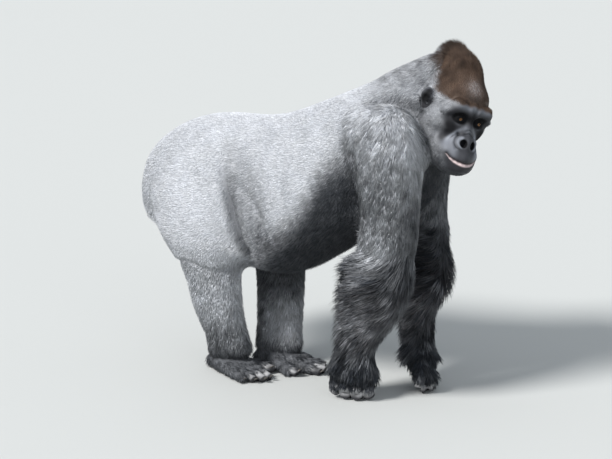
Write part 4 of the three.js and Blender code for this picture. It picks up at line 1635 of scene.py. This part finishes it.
def add_nail(place, facing, size):
    """A domed plate: the upper half of a flattened ball, bedded in the end of a toe or finger."""
    shape = (0.0085 * size, 0.0075 * size, 0.0036 * size)
    bpy.ops.mesh.primitive_uv_sphere_add(segments=20, ring_count=12, radius=1, location=place)
    nail = bpy.context.active_object
    bpy.ops.object.transform_apply()
    edit_all()
    bpy.ops.transform.resize(value=shape, center_override=place)
    bpy.ops.mesh.bisect(plane_co=place, plane_no=(0, 0, 1), use_fill=True, clear_inner=True)
    bpy.ops.mesh.select_all(action="SELECT")
    bpy.ops.transform.rotate(value=NAIL_PITCH, orient_axis="Y", center_override=place)
    bpy.ops.transform.rotate(value=-facing, orient_axis="Z", center_override=place)
    stop_editing()
    return nail


def add_nails(side, material):
    """The nails of one foot."""
    place = paw_frame(FEET, side)
    seats = [(start + long + 5, across * 1.08, 17, size) for across, start, long, size in TOES]
    seats.append((180, 88, 23, 1.3))
    facing = math.radians(FEET[side]["turn"])
    nails = []
    for out, across, up, size in seats:
        at = [v / 1000 for v in place(out, across, up)]
        nails.append(add_nail(at, facing, size))
    piece = joined_as(f"nails_{side}", nails)
    bpy.ops.object.transform_apply()
    bpy.ops.object.shade_smooth_by_angle(angle=math.radians(50))
    piece.data.materials.append(material)
    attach(piece, "root")


# -------- putting it together
def dress_skin(skin, coat, material):
    """Gives the skin its markings, painted shade and material, and attaches it to the root."""
    full = np.ones(len(coat.points))
    marks = np.stack([coat.silver, coat.brown, coat.bare, full], axis=1)
    set_values(skin.data, "marking", marks, "FLOAT_COLOR")
    set_values(skin.data, "pale", coat.pale)
    # Painted shade: the skin darkens where it lies in a hollow or a crease.
    hollow = ((relaxed(coat.points, coat.edges, 5) - coat.points) * coat.normals).sum(1)
    set_values(skin.data, "painted_crease_shade", ramp(hollow, 0.00015, 0.0013))
    local = to_head(coat.points)
    # Painted shade in the eye sockets, nostrils, mouth line and between the lids, with the face's own
    # darkest skin.
    dark = np.maximum(socket_share(local), dark_share(local))
    marks = np.stack([face_tone(local), dark, lip_share(local), full], axis=1)
    marks[:, :3] = relaxed(marks[:, :3], coat.edges, 2) * part_share_of(coat.shares, "head")[:, None]
    # Painted highlight on the rims of the ears, painted shade in their hollows.
    ear_light, ear_dark = ear_marks(local)
    marks[:, 0] = marks[:, 0] * (1 - ear_share(local)) + ear_light
    marks[:, 1] = np.maximum(marks[:, 1], ear_dark)
    set_values(skin.data, "face", marks, "FLOAT_COLOR")
    only(skin)
    bpy.ops.object.shade_smooth()
    skin.data.materials.append(material)
    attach(skin, "root")
    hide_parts(*FLESH)


# Parts, slot, bends of a tuft and how closely its locks gather. The limbs grow theirs on each side.
MIDDLE_COATS = [
    (["trunk"], "silver_coat", 1, 0.0),
    (["neck"], "silver_coat", 1, 0.0),
    (["head", "ear_right", "ear_left"], "crown_coat", 1, 0.0),
]
LIMB_COATS = [
    (["upper_arm"], "dark_coat", 1, 0.6),
    (["forearm", "hand"], "dark_coat", 2, 0.8),
    (["thigh"], "silver_coat", 1, 0.0),
    (["shank", "foot"], "dark_coat", 1, 0.3),
]
FIRST_SEED = 11


def build_gorilla():
    skin = make_skin()
    coat = Coat(skin, *shape_skin(skin))
    colours = coat_group()
    hair, eye, nail = coat_material(colours), eye_material(), nail_material()
    dress_skin(skin, coat, skin_material(colours))
    for side in SIDES:
        add_eye(side, eye)
    for side in SIDES:
        add_nails(side, nail)
    sheet = unwrapped(skin)
    coats = MIDDLE_COATS.copy()
    for parts, *way in LIMB_COATS:
        coats += [([f"{part}_{side}" for part in parts], *way) for side in SIDES]
    for seed, (nodes, slot, bends, locks) in enumerate(coats, FIRST_SEED):
        grow(coat, nodes, sheet, hair, slot, bends, locks, seed)


add_camera()
light_the_studio()
add_floor()
build_gorilla()
